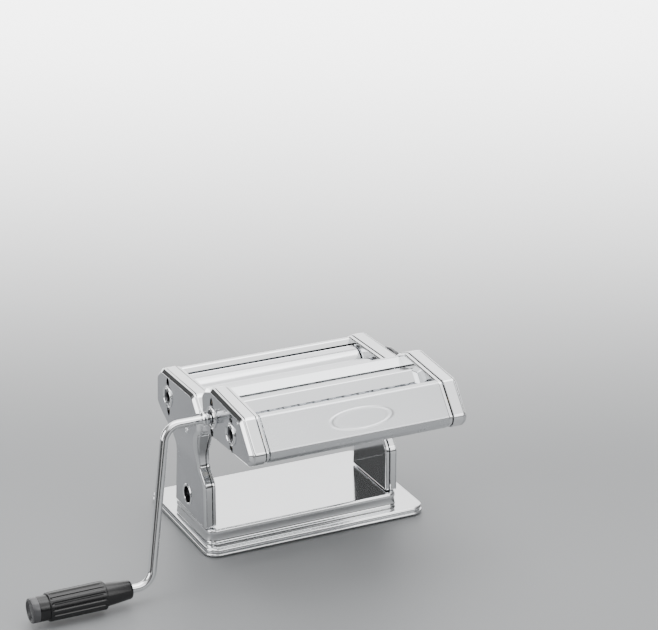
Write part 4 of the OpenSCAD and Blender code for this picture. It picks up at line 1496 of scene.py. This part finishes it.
@dataclass
class Crank:
    """The bent crank rod with its collar, and the grip that turns on it."""

    shop: Workshop
    rod_r: float = 3.5
    bend: float = 14.0
    splay: float = 11.0
    lean: float = 10.0
    reach: float = 39.0
    nose: float = 22.0
    flutes: int = 15

    def __post_init__(self) -> None:
        """Reads the crank's axis and the handle's axis from the frame."""
        self.rod = box_of("crank_rod")
        self.grip = box_of("crank_grip")
        self.cap = box_of("grip_end_cap")
        self.axis = box_of("wide_cutter_rear").middle
        self.face = box_of("cutter_cover_left").lo[0]
        self.handle = self.grip.middle

    def path(self) -> Array:
        """The rod's axis: straight out of the socket, a bend, the splayed arm, a bend, the spindle.

        It is drawn in the crank's own plane, and the plane is then leant about the socket's axis.

        Returns:
            The points, (n, 3).
        """
        arm = float(np.hypot(*(self.handle - self.axis)[1:]))
        x1 = self.face - self.reach
        x2 = x1 - arm * math.tan(math.radians(self.splay))
        corners = [(self.rod.hi[0], 0.0), (x1, 0.0), (x2, -arm), (self.rod.lo[0], -arm)]
        flat = fold_path(corners, self.bend, 16)
        a = math.radians(self.lean)
        return np.stack([flat[:, 0], self.axis[1] + flat[:, 1] * math.sin(a),
                         self.axis[2] + flat[:, 1] * math.cos(a)], 1)

    def rod_and_collar(self) -> None:
        """The plated rod, and the collar that stops it at the socket."""
        a = math.radians(self.lean)
        plane = np.array([0.0, math.cos(a), -math.sin(a)])
        path = self.path()
        nose = path[0] + np.array([[0.0, 0, 0], [-0.8, 0, 0]])
        made = tube(np.concatenate([nose, path[1:]]), self.rod_r, plane, 40)
        obj = self.shop.mesh_object("crank_rod_bent", made)
        self.shop.bevel(obj, 0.5, 2, 60)
        self.shop.finish(obj, "crank_rod", "crank", "chrome_bar")
        box = box_of("crank_collar")
        x0, x1, r = box.lo[0], box.hi[0], box.size[1] / 2
        ring = [(x0, self.rod_r), (x0, r - 0.8), (x0 + 0.8, r), (x0 + 1.9, r), (x0 + 2.3, r - 0.5),
                (x0 + 2.9, r - 0.5), (x0 + 3.3, r), (x1 - 0.8, r), (x1, r - 0.8), (x1, self.rod_r)]
        made = Panels.ring(np.array(ring + ring[:1])).moved((0, *self.axis[1:]))
        self.shop.piece("crank_collar", "turned", made, "crank", "chrome_bar")

    def flute(self, x: Array, a: Array) -> Array:
        """Radius taken off by the flutes.

        Each flute is a cosine lobe round the barrel, and its depth fades in and out along
        the barrel between its two ends with a smooth step.

        Args:
            x: places along X.
            a: angles round the grip.

        Returns:
            The change of radius, zero or less.
        """
        start, end = self.grip.lo[0] + 9.0, self.grip.hi[0] - self.nose - 1.2
        t = np.clip(np.minimum(x - start, end - x) / 1.8, 0, 1)
        fade = t * t * (3 - 2 * t)
        lobe = np.clip(1.25 * np.cos(a * self.flutes) - 0.1, 0, 1) ** 1.2
        return -0.95 * fade * lobe

    def grip_body(self) -> None:
        """The grip: tapered nose, step, fluted barrel and a plain tail, bored for the rod."""
        x1, x0 = self.grip.hi[0], self.grip.lo[0]
        r = self.grip.size[1] / 2
        n = x1 - self.nose
        outer = [(x1, 4.2), (x1, r - 5.2), (x1 - 0.4, r - 4.6), (x1 - 1.2, r - 4.1), (x1 - 2.0, r - 3.9),
                 (n + 1.0, r - 2.1), (n + 0.2, r - 2.0), (n - 0.1, r - 0.7), (n - 0.4, r - 0.2),
                 (n - 1.0, r)]
        barrel = [(float(x), r) for x in np.linspace(n - 1.3, x0 + 9.1, 44)]
        tail = [(x0 + 8.7, r - 0.05), (x0 + 8.2, r - 0.4), (x0 + 8.0, r - 0.9), (x0 + 7.9, r - 1.45),
                (x0 + 7.2, r - 1.5), (x0 + 0.6, r - 1.45), (x0 + 0.2, r - 1.55), (x0, r - 1.9),
                (x0, 4.2), (x0 + 0.5, 3.6), (x1 - 0.5, 3.6)]
        section = np.array(outer + barrel + tail + outer[:1])
        made = self.fluted_ring(section).moved((0, *self.handle[1:]))
        self.shop.piece("crank_grip", "moulded", made, "grip", "black_plastic")

    def fluted_ring(self, section: Array) -> Surface:
        """A closed section turned round X, with the flutes taken off its outer side.

        Args:
            section: (x, radius) points, the last the same as the first.

        Returns:
            A closed surface.
        """
        made = Panels.ring(section, 144)
        v = made.verts
        angle, radius = np.arctan2(v[:, 2], v[:, 1]), np.hypot(v[:, 1], v[:, 2])
        cut = np.where(radius > 6.0, self.flute(v[:, 0], angle), 0.0)
        out = np.stack([v[:, 0], (radius + cut) * np.cos(angle), (radius + cut) * np.sin(angle)], 1)
        return Surface(out, made.faces)

    def end_cap(self) -> None:
        """The grey cap in the grip's end, with a dished ring, and the rivet head inside it."""
        x0, x1 = self.cap.lo[0], self.cap.hi[0]
        r = self.cap.size[1] / 2
        section = [(x1, 6.2), (x1, r), (x0 + 1.2, r), (x0 + 0.3, r - 0.5), (x0, r - 1.1), (x0, r - 1.9),
                   (x0 + 0.7, r - 2.4), (x0 + 0.9, 6.6), (x0 + 1.3, 6.2)]
        disc = revolved([(x0 + 1.1, 0.01), (x0 + 1.1, 5.6), (x0 + 1.4, 6.3), (x0 + 1.9, 6.3),
                         (x0 + 1.9, 0.01)], 48)
        made = Panels.ring(np.array(section + section[:1])).joined(disc).moved((0, *self.handle[1:]))
        self.shop.piece("grip_end_cap", "moulded", made, "grip", "grey_plastic")

    def build(self) -> None:
        """Builds the crank."""
        self.rod_and_collar()
        self.grip_body()
        self.end_cap()


@dataclass
class ThicknessKnob:
    """The dial on the cover and the knob that sets the gap between the smooth rollers."""

    shop: Workshop
    ribs: int = 18
    settings: int = 7
    turn: float = 240.0

    def knob(self) -> None:
        """The knob: a flange, a ribbed barrel with rounded ends and a dished face."""
        box = box_of("thickness_knob")
        x0, x1, r = box.lo[0], box.hi[0], box.size[1] / 2
        b = r - 3.4
        section = [(x0, 4.1), (x0, r - 0.7), (x0 + 0.7, r), (x0 + 2.2, r), (x0 + 2.9, r - 0.7),
                   (x0 + 3.1, b + 0.6), (x0 + 3.8, b)]
        section += [(float(x), b) for x in np.linspace(x0 + 4.6, x1 - 2.4, 8)]
        section += [(x1 - 1.2, b - 0.25), (x1 - 0.4, b - 0.9), (x1, b - 2.0), (x1 - 0.1, b - 3.2),
                    (x1 - 1.0, b - 4.4), (x1 - 1.5, 4.0), (x1 - 1.6, 0.6), (x1 - 2.4, 0.6),
                    (x1 - 2.6, 6.4), (x0 + 7.2, 6.4), (x0 + 6.9, 4.1)]
        made = Panels.ring(np.array(section + section[:1]), 144)
        v = made.verts
        angle, radius = np.arctan2(v[:, 2], v[:, 1]), np.hypot(v[:, 1], v[:, 2])
        fade = np.clip((v[:, 0] - x0 - 3.2) / 1.6, 0, 1) * np.clip((x1 - 0.6 - v[:, 0]) / 2.0, 0, 1)
        lobe = np.abs(np.sin(angle * self.ribs / 2)) ** 0.6
        cut = np.where(radius > b - 1.5, -0.9 * (1 - lobe) * fade, 0.0)
        turned = np.stack([v[:, 0], (radius + cut) * np.cos(angle), (radius + cut) * np.sin(angle)], 1)
        made = Surface(turned, made.faces).moved((0, *box.middle[1:]))
        self.shop.piece("thickness_knob", "moulded", made, "knob", "black_plastic")

    def dial(self) -> None:
        """The dial: a ring with the pin's groove and a raised pip for each setting."""
        box = box_of("thickness_dial")
        x0, x1, r = box.lo[0], box.hi[0], box.size[1] / 2
        g1, g0 = r - 6.0, r - 10.0
        section = [(x0, 7.1), (x1 - 0.3, 7.1), (x1, 7.4), (x1, g0), (x0 + 1.0, g0), (x0 + 1.0, g1),
                   (x1, g1), (x1, g1 + 0.5), (x1 - 0.2, g1 + 1.2), (x1 - 0.25, r - 1.4),
                   (x1 - 0.7, r - 0.4), (x1 - 1.4, r), (x0, r)]
        made = Panels.ring(np.array(section + section[:1]), 96).moved((0, *box.middle[1:]))
        pip = revolved([(x1 - 0.6, 0.01), (x1 - 0.6, 0.8), (x1 - 0.1, 0.8), (x1, 0.5), (x1, 0.01)], 12)
        angles = np.radians(90 + np.linspace(0, self.turn, self.settings))
        y, z = box.middle[1:]
        pips = [pip.moved((0, y + (r - 3.1) * math.cos(a), z + (r - 3.1) * math.sin(a))) for a in angles]
        self.shop.piece("thickness_dial", "moulded", join_all([made] + pips), "stand", "grey_plastic")

    def build(self) -> None:
        """Builds the knob and its dial."""
        self.knob()
        self.dial()


# ------------------------------------------------------------------ studio


@dataclass(frozen=True)
class Card:
    """A round patch of the sky: its direction, its inner and outer half-angle, and its light."""

    towards: Tuple[float, float, float]
    inner: float
    outer: float
    light: float


CARDS = (
    Card((0.30, 0.92, 0.30), 30.0, 48.0, 2.2),
    Card((-0.50, 0.80, 0.40), 9.0, 19.0, -2.2),
    Card((0.05, -0.45, 0.88), 24.0, 38.0, 1.5),
    Card((0.95, -0.25, 0.20), 15.0, 30.0, -0.2),
    Card((-0.90, -0.05, 0.35), 10.0, 18.0, 1.0),
    Card((0.50, -0.82, 0.22), 5.0, 10.0, 2.4),
    Card((-0.62, -0.76, 0.15), 4.0, 8.0, 1.2),
)


@dataclass
class Studio:
    """A pale floor, soft lights and the camera."""

    floor_colour: Colour = (0.205, 0.21, 0.215)
    cards: Tuple[Card, ...] = CARDS
    camera_at: Tuple[float, float, float] = (-0.7685, -1.6789, 0.8904)
    look_at: Tuple[float, float, float] = (0.16033, 0.25022, 0.060)
    lens: float = 131.3

    def floor(self) -> None:
        """A wide level floor that brightens to white far behind the machine."""
        x = np.linspace(-9.0, 9.0, 7)
        verts = np.stack([np.repeat(x, 7), np.tile(x, 7), np.zeros(49)], 1)
        mesh = bpy.data.meshes.new("floor")
        mesh.from_pydata(verts.tolist(), [], grid_faces(7, 7)[:, ::-1].tolist())
        obj = bpy.data.objects.new("floor", mesh)
        bpy.context.scene.collection.objects.link(obj)
        s = Shader("pale_floor")
        cloud = s.noise((2.2, 2.2, 2.2), 5.0)
        sand = s.noise((700.0, 700.0, 700.0), 2.0)
        place = s.node("ShaderNodeTexCoord").outputs["Object"]
        fade = s.step(s.along(place, (0.43, 0.90, 0.0)), 0.05, 1.9)
        light = tuple(min(1.0, c * 1.2) for c in self.floor_colour)
        tone = cloud * 0.6 + sand * 0.5
        s.feed(s.surface.inputs["Base Color"], s.blend(tone, self.floor_colour, light))
        s.feed(s.surface.inputs["Roughness"], 0.5 + (cloud - 0.5) * 0.2)
        s.feed(s.surface.inputs["Emission Color"], s.blend(fade, (0.0, 0.0, 0.0), (1.0, 1.0, 1.0)))
        s.feed(s.surface.inputs["Emission Strength"], 5.0)
        s.feed(s.surface.inputs["Normal"], s.bump(sand, 0.15, 2e-4))
        mesh.materials.append(s.material)

    def world(self) -> None:
        """A room of soft cards: each adds light to, or takes it from, a round patch of the sky."""
        world = bpy.data.worlds.new("room")
        bpy.context.scene.world = world
        world.use_nodes = True
        sky = Nodes(world.node_tree)
        place = sky.node("ShaderNodeTexCoord").outputs["Generated"]
        height = sky.node("ShaderNodeSeparateXYZ", {}, {"Vector": place}).outputs["Z"]
        total = sky.step(height, -0.1, 0.9) * 0.5 + 0.06
        for card in self.cards:
            near = sky.along(place, Vector(card.towards).normalized())
            edge = (math.cos(math.radians(card.outer)), math.cos(math.radians(card.inner)))
            total = total + sky.step(near, *edge) * card.light
        back = sky.node("ShaderNodeBackground", {}, {"Color": total.at_least(0.10), "Strength": 1.0})
        sky.node("ShaderNodeOutputWorld", {}, {"Surface": back.outputs["Background"]})

    def lamp(self, name: str, at: Sequence[float], size: Tuple[float, float], power: float) -> None:
        """A soft rectangular lamp that faces the machine.

        Args:
            name: the lamp's name.
            at: where it stands, in metres.
            size: its width and height.
            power: its power in watts.
        """
        data = bpy.data.lights.new(name, "AREA")
        data.shape, data.size, data.size_y, data.energy = "RECTANGLE", *size, power
        obj = bpy.data.objects.new(name, data)
        obj.location = at
        aim = Vector((0.0, -0.03, 0.08)) - Vector(at)
        obj.rotation_euler = aim.to_track_quat("-Z", "Y").to_euler()
        bpy.context.scene.collection.objects.link(obj)

    def camera(self) -> None:
        """The camera, level, with no shift."""
        data = bpy.data.cameras.new("camera")
        data.lens, data.sensor_width = self.lens, 36.0
        obj = bpy.data.objects.new("camera", data)
        obj.location = self.camera_at
        aim = Vector(self.look_at) - Vector(self.camera_at)
        obj.rotation_euler = aim.to_track_quat("-Z", "Y").to_euler()
        bpy.context.scene.collection.objects.link(obj)
        bpy.context.scene.camera = obj

    def build(self) -> None:
        """Builds the studio."""
        self.camera()
        self.floor()
        self.world()
        self.lamp("top_light", (0.1, 0.15, 1.7), (1.8, 1.4), 30.0)
        self.lamp("left_light", (-1.9, -0.2, 1.0), (1.2, 1.4), 18.0)
        self.lamp("front_light", (0.6, -2.2, 1.3), (1.6, 1.0), 12.0)


def main() -> None:
    """Builds the machine and its studio in order."""
    logging.basicConfig(level=logging.INFO, format="%(message)s")
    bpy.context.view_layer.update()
    Studio().build()
    palette = Palette()
    dress_cad_nodes(palette)
    shop = Workshop(palette)
    for kind in (Base, Panels, Sheets, Rollers, Crank, ThicknessKnob):
        part = kind(shop)
        part.build()
        log.info("%s built", type(part).__name__)
    log.info("%d pieces made", shop.count)


if __name__ == "__main__":
    main()
